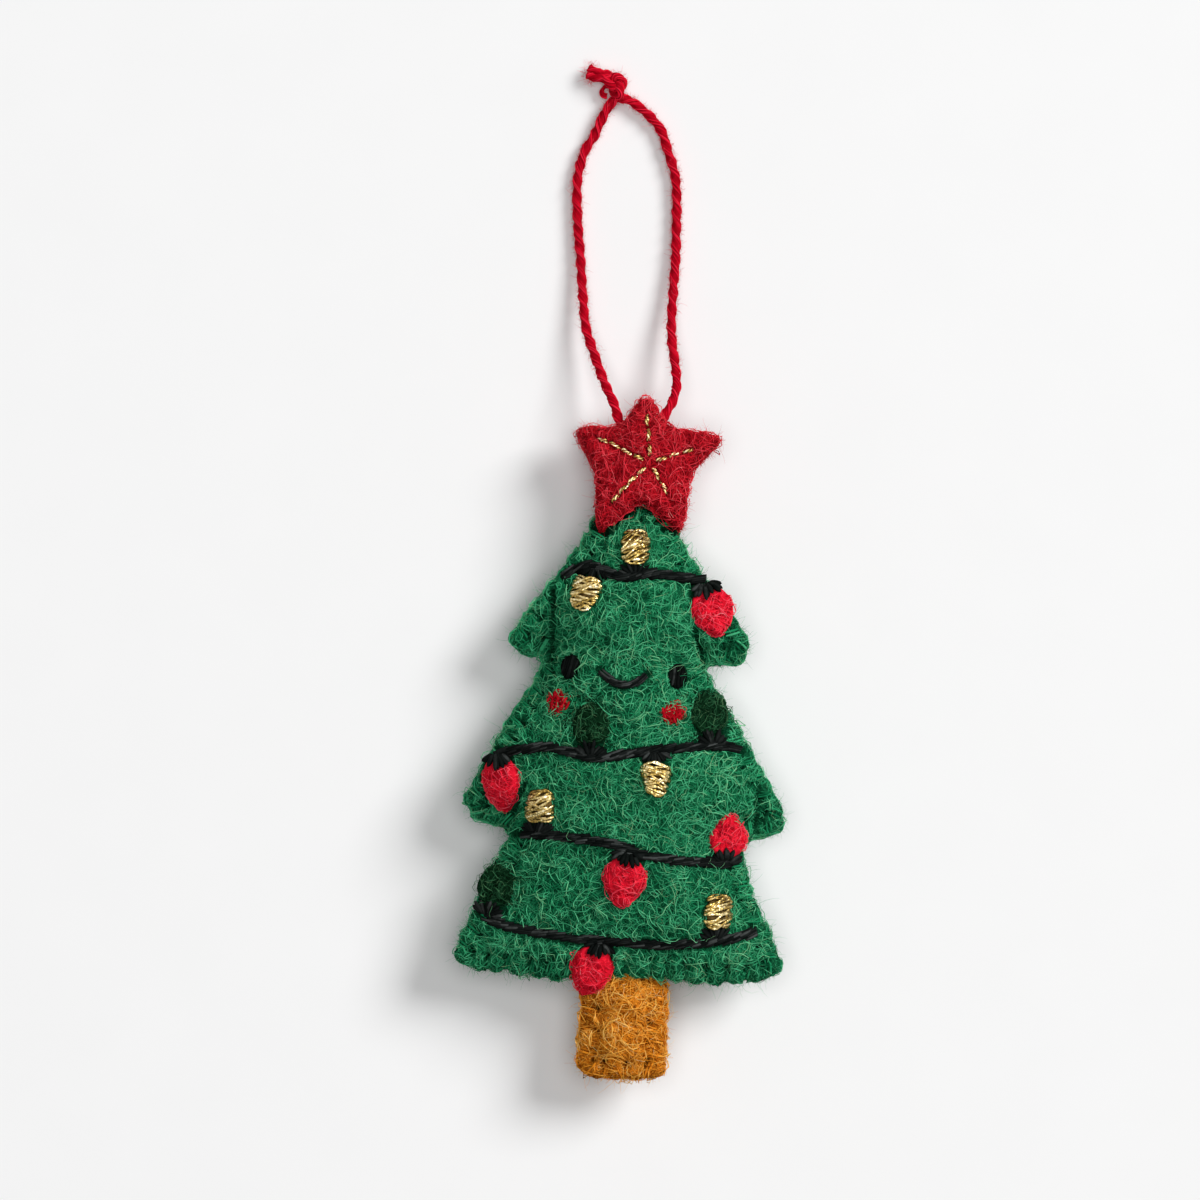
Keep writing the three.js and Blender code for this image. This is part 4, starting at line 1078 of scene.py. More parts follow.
def closed_half(outer, floor, side, wrap):
    """A closed half of a stuffed piece: the outer face, the floor under it and the rim between. Each is a
    grid; a wrapped grid's columns run round its first row, which is one point."""
    rows, columns = outer.shape[:2]
    count = rows * columns
    index = np.arange(count).reshape(rows, columns)
    if wrap:
        index[0] = 0
        index = np.concatenate([index, index[:, :1]], 1)
    top = index if (side > 0) != wrap else index[:, ::-1]
    under = top[:, ::-1] + count
    faces = grid_faces(top) + grid_faces(under)
    if wrap:
        rim = index[-1]
    else:
        rim = np.concatenate([index[0, :-1], index[:-1, -1], index[-1, :0:-1], index[::-1, 0]])
    wall = np.stack([rim + count, rim])
    faces += grid_faces(wall if side > 0 else wall[:, ::-1])
    points = np.concatenate([outer.reshape(-1, 3), floor.reshape(-1, 3)])
    used = np.unique(np.concatenate([np.ravel(part) for part in faces]))
    renumber = np.zeros(2 * count, dtype=int)
    renumber[used] = np.arange(len(used))
    return points[used], [renumber[part] for part in faces]


def tree_rows():
    """Rows of the tree: y and the reach to the left and right. A tier's tip is a parabola and its edge
    straight; the apex is a parabola too. Also each tier's hem and height."""
    t = np.linspace(0, 1, 11)
    s = np.linspace(0, 1, 46)[1:]
    notch = np.linspace(0, 1, 5)[1:-1]
    rows = []
    tiers = []
    hem = 0
    for height, rise, *reaches in TIER_SHARES:
        height = height * TREE_HEIGHT
        rise = rise * TREE_HEIGHT
        tip_left, tip_right, top_left, top_right = np.array(reaches) * TREE_WIDTH / 2
        inset = TIP_CORNER * (1 - t) ** 2
        tip = np.stack([hem + rise * t**2, tip_left - inset, tip_right - inset], 1)
        if rows:
            last = rows[-1][-1]
            rows.append(last + (tip[0] - last) * notch[:, None])
        top = hem + height
        edge = np.stack([hem + rise + (height - rise) * s, tip_left + (top_left - tip_left) * s,
                         tip_right + (top_right - tip_right) * s], 1)
        rows += [tip, edge]
        tiers.append((hem, height))
        hem = top + NOTCH_RISE
    last = rows[-1][-1]
    k = t[1:]
    rows.append(np.stack([top + APEX_RISE * (1 - (1 - k) ** 2), last[1] + (APEX_HALF_WIDTH - last[1]) * k**2,
                          last[2] + (APEX_HALF_WIDTH - last[2]) * k**2], 1))
    return np.concatenate(rows), tiers


def row_grid(rows, columns):
    """Columns across each row, closer together near its ends, and the function that finds a point among
    them."""
    share = np.linspace(-1, 1, columns)
    across = 0.5 + (share + np.sin(share * np.pi / 2)) / 4
    x = -rows[:, 1:2] + (rows[:, 1:2] + rows[:, 2:3]) * across
    y = np.broadcast_to(rows[:, 0:1], x.shape)

    def find(px, py):
        left = np.interp(py, rows[:, 0], rows[:, 1])
        right = np.interp(py, rows[:, 0], rows[:, 2])
        row = np.interp(py, rows[:, 0], np.arange(len(rows)))
        return row, np.interp((px + left) / (left + right), across, np.arange(columns))

    return np.stack([x, y], -1), find


def outline_of(rows):
    """The outline round rows, anticlockwise: the hem, up the right side and down the left."""
    right = np.stack([rows[:, 2], rows[:, 0]], 1)
    left = np.stack([-rows[:, 1], rows[:, 0]], 1)
    return Outline(np.concatenate([right, left[::-1]]))


def mouth(x, y):
    """How far the tree's sheets part at the hem to take the trunk in."""
    flat = TRUNK_TOP_WIDTH / 2 + MOUTH_MARGIN
    across = 1 - smoothstep(np.abs(x - TRUNK_X), flat, flat + MOUTH_EASE)
    along = 1 - smoothstep(y, TRUNK_TUCK + MOUTH_MARGIN, TRUNK_TUCK + MOUTH_MARGIN + MOUTH_EASE)
    return (FELT + CLEARANCE) * across * along


def tree_height(x, y, puff, reach):
    """Height of the tree's face above the seam while it is slack: the felt, and the swell or the mouth,
    whichever lifts it."""
    _, _, smooth = TREE_SEAM.measure(x, y)
    puff = SLACK * puff
    return CLEARANCE / 2 + FELT + np.minimum(np.hypot(puff * swell(smooth, reach), mouth(x, y)), puff)


def tree_sides(y):
    """How far the tree reaches to the left and right at heights up it."""
    return [np.interp(y, TREE_ROWS[:, 0], TREE_ROWS[:, side]) for side in (1, 2)]


def front_height(x, y):
    """Height of the tree's front as the lights and the face see it: level past its edges."""
    y = np.maximum(y, 0)
    left, right = tree_sides(y)
    return tree_height(np.clip(x, -left, right), y, FRONT_PUFF, FRONT_PUFF_REACH)


def front_level(face, x, y):
    """Height of the tree's front with its lumps; over the rounded rim and past it, the level height."""
    rim = front_height(x, y) - flaps(x, y)
    near = TREE_SEAM.measure(x, y)[0]
    lumpy = face.sample(face.outer, *face.find(x, y))[..., 2]
    return np.where(near < 2 * RIM, np.maximum(lumpy, rim), lumpy)


TREE_ROWS, TIERS = tree_rows()
TREE_SEAM = outline_of(TREE_ROWS)


def felt_face(outline, marks, grid, height, floor, side, seed, pinch, edge_out, rim=RIM):
    """A felt face over a grid (base, find), and the floor under it."""
    base, find = grid
    outer = pinched(outline, marks, base, height, floor, side, seed, pinch, edge_out, rim)
    if side < 0:
        outer[..., 2] = np.maximum(outer[..., 2], -BACK_DEPTH)
    under = raised(outer[..., :2], side * floor)
    return Felt(base, outer, find, side), under


def put_felt(part, face, under, side, wrap, finishes, press):
    """The front or back of a stuffed part as a padded piece, with painted shade where its front is pressed
    in. The front stands for the part's stuffing too."""
    felt, stuffing, fill = STUFFED[part]
    if wrap:
        points, corners = closed_half(face.outer[:, :-1], under[:, :-1], side, wrap)
    else:
        points, corners = closed_half(face.outer, under, side, wrap)
    # Painted shade: the front's tone is darker where it is pressed in
    tone = 1 - PRESS_SHADE * press(points[:, 0], points[:, 1]) * (side > 0)
    name = SIDES[side]
    nodes = [f"{part}_{name}_sheet"] + ([stuffing] if side > 0 else [])
    piece = put_piece(f"{part}_{name}_felt", (points, corners, tone), finishes[felt], felt, *nodes)


def make_tree(finishes, marks, press):
    """The tree's two padded faces."""
    grid = row_grid(TREE_ROWS, TREE_COLUMNS)
    base = grid[0]
    x, y = base[..., 0], base[..., 1]
    floor = mouth(x, y) + FLOOR_GAP
    heights = [tree_height(x, y, FRONT_PUFF, FRONT_PUFF_REACH), tree_height(x, y, BACK_PUFF, BACK_PUFF_REACH)]
    heights = blown_up(base, heights, TREE_CLOTH, False)
    upward = TREE_SEAM.out[TREE_SEAM.measure(x, y)[1]][..., 1]
    straight = smoothstep(upward, *STRAIGHT_SIDE)
    firm = 1 - SIDE_EASE * straight
    edge_out = EDGE_OUT - SIDE_TUCK * straight
    faces = {}
    for side, height in zip(SIDES, heights):
        if side > 0:
            height = height - grooves(x, y, CREASES, CREASE_DEPTH, CREASE_WIDTH, 0.5) - flaps(x, y)
        face, under = felt_face(TREE_SEAM, marks, grid, height, floor, side, 21 * side + 50, firm, edge_out)
        put_felt("tree", face, under, side, False, finishes, press)
        faces[side] = face
    return faces


# Fibres

def curls(face, count, length, width, rise, seed, pale=0.04, bend=2.9, press=None, around=None):
    """Curly fibres on a felt face: each is an arc of random bend that leaves the felt, arches over it and
    goes back in. Neighbours head about the same way. The higher a fibre arches, the lighter it is painted,
    as painted light on the top fibres and painted shade on the low ones, and a few are pale and thin. In
    small pits, where a wave field is low, and where the felt is pressed in, fibres dive into it and are
    painted darker, as painted shade. Around a middle and a radius, they start near that circle."""
    rng = np.random.default_rng(seed)
    t = np.linspace(0, 1, FIBRE_POINTS)
    start = face.scatter(count, rng)
    if around is not None:
        turn = rng.uniform(0, 2 * np.pi, (count, 1))
        away = around[1] * rng.normal(1, FUZZ_SPREAD, (count, 1))
        start = around[0] + away * np.concatenate([np.cos(turn), np.sin(turn)], 1)
    heading = FLOW_LEAN + FLOW_SPREAD * waves(start[:, :1], start[:, 1:], FLOW_SIZE, FLOW_SEED)
    heading = heading + rng.normal(0, 0.8, (count, 1))
    heading = heading + rng.normal(0, bend, (count, 1)) * (t - 0.5)
    heading = heading + rng.normal(0, 0.7, (count, 1)) * np.sin(2 * np.pi * t)
    step = length * rng.uniform(0.5, 1.5, (count, 1)) / (FIBRE_POINTS - 1)
    x = start[:, :1] + np.cumsum(np.cos(heading), 1) * step
    y = start[:, 1:] + np.cumsum(np.sin(heading), 1) * step
    high = rng.gamma(2.0, 0.5, count)
    pit = 1 - smoothstep(waves(x, y, PIT_SIZE, PIT_SEED), -1.5, -0.5)
    lift = rise * high[:, None] * np.sin(np.pi * t) ** 0.8 - FIBRE_SINK - PIT_DEPTH * pit
    shadow = PIT_SHADE * pit
    if press is not None:
        share = press(x, y)
        lift = lift - (PRESS_DEPTH + np.maximum(lift, 0)) * share
        shadow = shadow + PRESS_FIBRE_SHADE * share
    places, normal = face.seat(x, y, lift)
    places[..., 2] = np.maximum(places[..., 2], -BACK_DEPTH - 0.1)
    # Painted light and shade: the higher a fibre arches, the lighter its tone; the shade of pits and presses
    # is subtracted below
    tone = np.clip(0.08 + 0.27 * high + rng.normal(0, 0.14, count), 0.02, 0.84)
    faint = rng.random(count) < pale
    tone = np.where(faint, rng.uniform(0.85, 1.0, count), tone)
    taper = 0.45 + 0.55 * np.sin(np.pi * t)
    thick = width * rng.uniform(0.7, 1.25, (count, 1)) * taper * np.where(faint, PALE_WIDTH, 1.0)[:, None]
    return threads(places, normal, thick, thick, 3, tone=tone[:, None] - shadow)


def edge_hairs(outline, count, length, width, seed, swollen=0.6):
    """Short hairs round an outline: each starts on the edge, near the seam, and bends outwards."""
    rng = np.random.default_rng(seed)
    t = np.linspace(0, 1, HAIR_POINTS)
    root, out = outline.at(rng.uniform(0, outline.length, count))
    root = root + droop(root[:, 0], root[:, 1]) + swollen * out
    heading = np.arctan2(out[:, 1:], out[:, :1]) + rng.normal(0, 0.7, (count, 1))
    heading = heading + rng.normal(0, 0.9, (count, 1)) * t
    step = length * rng.gamma(2.0, 0.5, (count, 1)) / (HAIR_POINTS - 1)
    x = root[:, :1] - 0.6 * out[:, :1] + np.cumsum(np.cos(heading), 1) * step
    y = root[:, 1:] - 0.6 * out[:, 1:] + np.cumsum(np.sin(heading), 1) * step
    z = rng.uniform(-HAIR_DEPTH, HAIR_DEPTH, (count, 1)) + rng.normal(0, 0.5, (count, 1)) * t
    tone = np.clip(rng.normal(0.6, 0.2, count), 0, 1)
    thick = width * (1.1 - 0.7 * t)
    return threads(np.stack([x, y, z], -1), UP, thick, thick, 3, tone=tone)


# Trunk

def trunk_rows():
    """Rows of the trunk from its foot to its tucked end: y and the reach to the left and right. The half
    width runs evenly from the foot to the tuck, less a parabola at the corners of the foot."""
    k = np.linspace(0, 1, 9)
    shoulder = -TRUNK_DROP + TRUNK_CORNER
    y = np.concatenate([-TRUNK_DROP + TRUNK_CORNER * k**2, np.linspace(shoulder, 0, 46)[1:],
                        np.linspace(0, TRUNK_TUCK, 6)[1:]])
    half = np.interp(y, (-TRUNK_DROP, TRUNK_TUCK), (TRUNK_BOTTOM_WIDTH / 2, TRUNK_TOP_WIDTH / 2))
    half[:9] -= TRUNK_CORNER * (1 - k) ** 2
    return np.stack([y, half - TRUNK_X, half + TRUNK_X], 1)


def make_trunk(finishes, rows, seam, marks, press):
    """The trunk's two padded faces, thin where they are tucked into the tree."""
    grid = row_grid(rows, TRUNK_COLUMNS)
    x, y = grid[0][..., 0], grid[0][..., 1]
    smooth = seam.measure(x, y)[2]
    stuffed = smoothstep(-y, CLEARANCE, TRUNK_PUFF_REACH)
    slack = CLEARANCE / 2 + FELT + SLACK * TRUNK_PUFF * swell(smooth, TRUNK_PUFF_REACH) * stuffed
    heights = blown_up(grid[0], [slack, slack], TRUNK_CLOTH, False)
    below = smoothstep(-y, *BELOW_HEM)
    floor = np.full(x.shape, FLOOR_GAP)
    faces = {}
    for side, height in zip(SIDES, heights):
        height = slack + (height - slack) * stuffed
        face, under = felt_face(seam, marks, grid, height, floor, side, 60 + side, TRUNK_PINCH * below,
                                TRUNK_EDGE_OUT * below)
        put_felt("trunk", face, under, side, False, finishes, press)
        faces[side] = face
    return faces


# Star

def star_outline():
    """The star's outline: straight edges, and at each corner a quadratic curve that starts and ends beside
    it."""
    table = np.array(list(STAR_POINTS.values()), float)
    turn = np.radians(table[:, [0, 3]]).reshape(-1)
    reach = STAR_REACH * table[:, [1, 4]].reshape(-1, 1)
    corner = STAR_MIDDLE + reach * np.stack([np.cos(turn), np.sin(turn)], 1)
    rounding = np.array([(POINT_ROUND[point], NOTCH_ROUND) for point in STAR_POINTS]).reshape(-1, 1)
    enter = corner + rounding * unit(np.roll(corner, 1, axis=0) - corner)
    leave = corner + rounding * unit(np.roll(corner, -1, axis=0) - corner)
    t = np.linspace(0, 1, 9)[:, None]
    curve = enter[:, None] * (1 - t) ** 2 + corner[:, None] * 2 * t * (1 - t) + leave[:, None] * t**2
    return Outline(curve.reshape(-1, 2))


def polar_grid(middle, edge, rings):
    """Rings from a middle out to a closed edge, closer together near it, and the function that finds a
    point among them. The first column is repeated as the last."""
    share = np.sin(np.linspace(0, np.pi / 2, rings))
    ring = np.concatenate([edge, edge[:1]])
    spoke = ring - middle
    base = middle + share[:, None, None] * spoke
    angle = np.unwrap(np.arctan2(spoke[:, 1], spoke[:, 0]))
    far = np.linalg.norm(spoke, axis=1)

    def find(px, py):
        turn = angle[0] + np.mod(np.arctan2(py - middle[1], px - middle[0]) - angle[0], 2 * np.pi)
        away = np.hypot(px - middle[0], py - middle[1]) / np.interp(turn, angle, far)
        return np.interp(away, share, np.arange(rings)), np.interp(turn, angle, np.arange(len(ring)))

    return base, find


def star_parting(y):
    """How far the star's two sheets part to take in the tree's tip below and the yarn above."""
    tip = TREE_HEIGHT + TIP_GAP
    edge = STAR_SEAM.points[STAR_SEAM.points[:, 1] < tip]
    straddle = np.max(front_height(edge[:, 0], edge[:, 1])) + CLEARANCE
    over_tip = straddle * (1 - smoothstep(y, tip + CLEARANCE, tip + STRADDLE_EASE))
    yarn = STAR_MIDDLE[1] + YARN_RISE
    over_yarn = (YARN / 2 + CLEARANCE) * smoothstep(y, yarn - 3 * YARN, yarn - YARN)
    return np.maximum(over_tip, over_yarn)


def ray_ends(point):
    """The two ends of a ray of stitches."""
    angle, _, ray, _, _ = STAR_POINTS[point]
    turn = math.radians(angle + RAY_TURN[point])
    way = np.array([math.cos(turn), math.sin(turn)])
    root = STAR_MIDDLE + RAY_SHIFT
    return root + RAY_START * way, root + ray * STAR_REACH * way


def make_star(finishes, press):
    """The star's two padded faces and its five rays of gold back stitches."""
    grid = polar_grid(STAR_MIDDLE, STAR_SEAM.points, STAR_RINGS)
    x, y = grid[0][..., 0], grid[0][..., 1]
    smooth = STAR_SEAM.measure(x, y)[2]
    parting = star_parting(y)
    slack = CLEARANCE / 2 + FELT + np.hypot(SLACK * STAR_PUFF * swell(smooth, STAR_PUFF_REACH), parting)
    heights = blown_up(grid[0], [slack, slack], STAR_CLOTH, True)
    marks = stitch_marks(STAR_SEAM, STITCH_PITCH, 13)
    rays = [ray_ends(point) for point in STAR_POINTS]
    faces = {}
    for side, height in zip(SIDES, heights):
        if side > 0:
            height = height - grooves(x, y, rays, GROOVE_DEPTH, GROOVE_WIDTH)
        face, under = felt_face(STAR_SEAM, marks, grid, height, parting + FLOOR_GAP, side, 70 + side, 0.0,
                                STAR_EDGE_OUT, STAR_RIM)
        put_felt("star", face, under, side, True, finishes, press)
        faces[side] = face
    for number, (point, (start, end)) in enumerate(zip(STAR_POINTS, rays)):
        count = max(int(round(np.linalg.norm(end - start) / RAY_STITCH)), 1)
        shapes = []
        for k in range(count):
            first = start + (end - start) * k / count
            last = start + (end - start) * (k + RAY_SHARE) / count
            shapes.append(back_stitch(faces[1], first, last, 80 + 10 * number + k))
        put_piece(f"star_ray_{point}_stitches", join_shapes(*shapes), finishes["gold_thread"], "gold_thread",
                  f"star_ray_{point}")
    return faces


def back_stitch(face, start, end, seed):
    """One stitch on a felt face: a two-ply thread that comes up, humps and goes down again."""
    rng = np.random.default_rng(seed)
    t = np.linspace(0, 1, 15)
    aside = rng.normal(0, 0.12, 2)
    line = start + (end - start) * t[:, None] + np.sin(np.pi * t)[:, None] * aside
    lift = RAY_ARCH * np.sin(np.pi * t) ** 0.7 - RAY_SINK
    place, normal = face.seat(line[:, 0], line[:, 1], lift)
    tone = rng.uniform(0.65, 1.1, 2)
    return rope(place, normal, 2, RAY_PLY, RAY_PLY * 0.4, RAY_PITCH, tone, 6, rng.uniform(0, 6))


# Overcast edges

def overcast(outline, marks, faces, keep, seed):
    """Overcast stitches: strands from a hole in the front face out over the edge and into the back face,
    leaning along the edge. Their inset from the edge grows with the angle round it."""
    rng = np.random.default_rng(seed)
    point, out = outline.at(marks)
    chosen = keep(point)
    point, out = point[chosen], out[chosen]
    along = np.stack([-out[:, 1], out[:, 0]], 1)
    t = np.linspace(-1, 1, 13)
    inset = HOLE_INSET * np.abs(t) ** 1.4 + 0.5
    shapes = []
    for strand in (-EDGE_APART / 2, EDGE_APART / 2):
        shift = strand + STITCH_LEAN * t + rng.normal(0, 0.1, (len(point), 1))
        xy = point[:, None] - inset[:, None] * out[:, None] + shift[..., None] * along[:, None]
        lift = np.full(shift.shape, 0.02) - 0.5 * t**6
        front, up = faces[1].seat(xy[..., 0], xy[..., 1], lift)
        back, down = faces[-1].seat(xy[..., 0], xy[..., 1], lift)
        blend = smoothstep(t, -0.12, 0.12)[:, None]
        place = back * (1 - blend) + front * blend
        place[..., :2] += (0.55 * np.exp(-((t / 0.3) ** 2)))[:, None] * out[:, None]
        outward = raised(np.broadcast_to(out[:, None], place[..., :2].shape), np.zeros(place.shape[:2]))
        normal = unit(down * (1 - blend) + up * blend + 0.4 * outward)
        place[..., 2] = np.maximum(place[..., 2], -BACK_DEPTH)
        tone = np.clip(rng.normal(0.3, 0.12, len(point)), 0, 0.8)
        shapes.append(threads(place, normal, EDGE_STRAND, EDGE_STRAND, 5, tone=tone))
    return join_shapes(*shapes)


# String lights

def wire_route(tier, shares):
    """A wire's route across the tree's front, as x and y."""
    hem, height = TIERS[tier]
    across, rise = np.array(shares, float).T
    y = hem + rise * height
    left, right = tree_sides(y)
    return spline(np.stack([np.where(across < 0, across * left, across * right), y], 1), 0.3)


def stem_stitches(route, level, seed, lean=STEM_SLANT, slender=1.0):
    """Stem stitches along a route: each starts a step on from the one before, runs a few strands slanting
    across the route, arches over the felt and goes in at both ends."""
    rng = np.random.default_rng(seed)
    run = run_along(route)
    along = unit(np.gradient(route, axis=0))
    start = np.arange(0, run[-1] - STEM_LENGTH * 0.7, STEM_STEP)
    start = start + rng.uniform(-0.2, 0.2, len(start))
    t = np.linspace(0, 1, 9)
    place = np.clip(start[:, None] + STEM_LENGTH * rng.uniform(0.9, 1.15, (len(start), 1)) * t, 0, run[-1])
    middle = np.stack([np.interp(place, run, route[:, k]) for k in range(2)], -1)
    ahead = np.stack([np.interp(place, run, along[:, k]) for k in range(2)], -1)
    aside = np.stack([-ahead[..., 1], ahead[..., 0]], -1)
    shapes = []
    for strand in slender * STEM_APART * np.linspace(-1, 1, STEM_STRANDS):
        slant = lean * (t - 0.5) + strand + rng.normal(0, 0.08, (len(start), 1))
        xy = middle + slant[..., None] * aside
        arch = STEM_RISE - 0.7 * abs(strand) + STEM_ARCH * np.sin(np.pi * t)
        arch = arch - STEM_SINK * np.abs(2 * t - 1) ** 6
        arch = arch + rng.normal(0, 0.07, (len(start), 1))
        path = raised(xy, level(xy[..., 0], xy[..., 1]) + arch)
        wide = STEM_STRAND * slender * rng.uniform(0.85, 1.15, (len(start), 1))
        wide = wide * (0.75 + 0.25 * np.sin(np.pi * t))
        tone = rng.uniform(0.1, 0.75, len(start))
        # Each strand is painted lighter on top and darker underneath: painted highlight and painted shade
        shapes.append(threads(path, UP, wide, wide, 7, tone=tone, crest_painted_shading=0.32))
    return join_shapes(*shapes)


def make_wires(finishes, level):
    """Four stem-stitched wires."""
    for number, (tier, shares) in enumerate(WIRES):
        shape = stem_stitches(wire_route(tier, shares), level, 90 + number)
        name = f"light_wire_{number + 1}"
        put_piece(f"{name}_stitches", shape, finishes["black_thread"], "black_thread", name)


def node_middle(node):
    """The middle of a solid, in the tree's frame."""
    low, high = (np.array(corner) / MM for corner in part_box(node))
    return (low + high) / 2 - ORIGIN


def egg_edge(middle, axis, size, taper, point):
    """The edge of a bulb: an ellipse whose width shrinks towards its tip, and quicker there to a point."""
    angle = 2 * np.pi * np.arange(EDGE_POINTS) / EDGE_POINTS
    up = np.sin(angle)
    across = np.cos(angle) * (1 - taper * up - point * np.maximum(up, 0) ** 2)
    side = rightward(axis)
    return middle + across[:, None] * size[1] / 2 * side + up[:, None] * size[0] / 2 * axis


def sewn_patch(middle, edge, height, level_at, seed, lump=0.15):
    """A padded patch on the tree's front: a dome over its edge, lumpy, and the felt under it."""
    base, find = polar_grid(middle, edge, PATCH_RINGS)
    x, y = base[..., 0], base[..., 1]
    share = find(x, y)[0] / (PATCH_RINGS - 1)
    dome = np.cos(share * np.pi / 2)
    level = level_at(x, y)
    z = level + height * (0.2 + 0.8 * dome) + lump * waves(x, y, PATCH_LUMP_SIZE, seed) * dome
    under = raised(base, level - PATCH_SINK)
    return Felt(base, raised(base, z), find, 1), under


def patch_level(face, level, x, y):
    """Height of whatever is in front at x and y: the patch, or the felt beside it."""
    rows, columns = face.find(x, y)
    over = face.sample(face.outer, rows, columns)[..., 2]
    return np.where(rows < face.outer.shape[0] - 1.01, over, level(x, y))


def petals(middle, axis, face, level, count, fan, reach, width, seed):
    """Rounded stitches that fan out from a socket over a bulb's neck. A stitch's width is that of a
    superellipse along it."""
    rng = np.random.default_rng(seed)
    t = np.linspace(0, 1, 10)
    lean = np.linspace(-fan, fan, count) + rng.normal(0, 0.07, count)
    side = rightward(axis)
    way = np.cos(lean)[:, None] * axis + np.sin(lean)[:, None] * side
    root = middle - SOCKET_BACK * axis + (SOCKET_SPREAD * np.sin(lean))[:, None] * side
    long = reach * (rng.uniform(0.85, 1.15, count) - 0.12 * np.abs(lean))
    xy = root[:, None] + (t * long[:, None])[..., None] * way[:, None]
    layer = PETAL_LAYER * (np.arange(count) % 2)[:, None]
    z = patch_level(face, level, xy[..., 0], xy[..., 1]) + PETAL_LIFT + PETAL_ARCH * np.sin(np.pi * t) + layer
    wide = np.broadcast_to(width * np.maximum(1 - np.abs(2 * t - 1) ** 2.6, 0.02) ** 0.5, z.shape)
    path = raised(xy, z)
    tone = rng.uniform(0.1, 0.7, count)
    # Each petal is painted lighter on top and darker underneath: painted highlight and painted shade
    return threads(path, UP, wide, 0.8 * wide, 8, tone=tone, crest_painted_shading=0.3)


def satin(middle, along, size, count, height, level, thread, spread, seed, tones, ragged, square=2.0):
    """Satin stitches side by side over an oval: size is along and across them. Each runs the oval's chord,
    arches over the felt and goes in at both ends; spread is how much their directions differ."""
    rng = np.random.default_rng(seed)
    side = rightward(along)
    row = np.linspace(-0.9, 0.9, count) + rng.normal(0, 0.03, count)
    chord = size[0] / 2 * (1 - np.abs(row) ** square) ** (1 / square)
    chord = chord * rng.uniform(1 - ragged, 1 + ragged, count)
    tilt = rng.normal(0, spread, count)
    way = np.cos(tilt)[:, None] * along + np.sin(tilt)[:, None] * side
    t = np.linspace(-1, 1, 11)
    xy = middle + (row * size[1] / 2)[:, None, None] * side + (t * chord[:, None])[..., None] * way[:, None]
    bow = rng.normal(0, 2.2 * ragged, (count, 1)) * (1 - t**2)
    xy = xy + bow[..., None] * side
    arch = np.sqrt(np.maximum(1 - (row[:, None] * 0.75) ** 2 - (t * 0.92) ** 2, 0.02))
    arch = arch + rng.uniform(0, 0.12, (count, 1))
    z = level(xy[..., 0], xy[..., 1]) + height * arch + 0.15 - 0.8 * t**10
    turn = rng.normal(0, 0.35, (count, 1)) + rng.normal(0, 0.35, (count, 1)) * t
    wide = thread * rng.uniform(0.8, 1.2, (count, 1)) * (1 - 0.3 * t**8)
    tone = rng.uniform(*tones, count)
    # The last value paints each stitch lighter on top and darker underneath: painted highlight and painted
    # shade
    return threads(raised(xy, z), UP, wide, 0.5 * wide, 7, turn, tone, 0.15)


def gold_rows(middle, side, axis, size, taper, height, level, seed):
    """Film thread wrapped over a bulb: size is across and along it. Rows slant a little across it, and over
    them half as many slant more. A row keeps inside a superellipse, narrowed to its tip by taper, and rises
    and dips in waves, so that rows cross over and under each other; it is painted lighter where it rises
    and darker where it dips, and lighter on top and darker underneath, as painted light and shade."""
    rng = np.random.default_rng(seed)
    lean = rng.choice((-1, 1))
    t = np.linspace(-1, 1, 15)
    ends = np.abs(t) ** 8
    shapes = []
    for rows, slant, layer in ((GOLD_ROWS, 0.16, 0.0), (GOLD_ROWS // 2, 0.5, 0.14)):
        row = np.linspace(-0.92, 0.92, rows) + rng.normal(0, 0.04, rows)
        across = t * rng.uniform(0.88, 1.08, (rows, 1))
        along = row[:, None] + (lean * slant + rng.normal(0, 0.2, (rows, 1))) * t
        along = along + rng.normal(0, 0.06, (rows, 1)) * (1 - t**2)
        out = (np.abs(across) ** GOLD_SQUARE + np.abs(along) ** GOLD_SQUARE) ** (1 / GOLD_SQUARE)
        over = np.maximum(out, 1)
        along = along / over
        across = across / over * (1 - taper * along)
        xy = middle + (across * size[0] / 2)[..., None] * side + (along * size[1] / 2)[..., None] * axis
        dips = np.sin(rng.uniform(3.0, 6.0, (rows, 1)) * t + rng.uniform(0, 6, (rows, 1)))
        dome = np.sqrt(np.maximum(1 - (0.75 * along) ** 2 - (0.85 * across) ** 2, 0.03))
        z = level(xy[..., 0], xy[..., 1]) + height * dome + 0.1 * dips + 0.2 + layer
        z = z - (0.45 + 2 * layer) * ends
        wide = GOLD_THREAD * rng.uniform(0.85, 1.2, (rows, 1)) * (1 - 0.25 * ends)
        # Painted light and shade: a row's tone rises and dips with its height, and it is lighter on top than
        # underneath
        tone = rng.uniform(0.27, 0.72, (rows, 1)) + 0.15 * dips
        path = raised(xy, z)
        shapes.append(threads(path, UP, wide, 0.8 * wide, 6, tone=tone, crest_painted_shading=0.25))
    return join_shapes(*shapes)


def behind(place, axis):
    """A field, as a function of x and y, that is 1 behind a place, seen along an axis, and 0 a little
    before it."""
    return lambda x, y: 1 - smoothstep((x - place[0]) * axis[0] + (y - place[1]) * axis[1], 0, SOCKET_EASE)


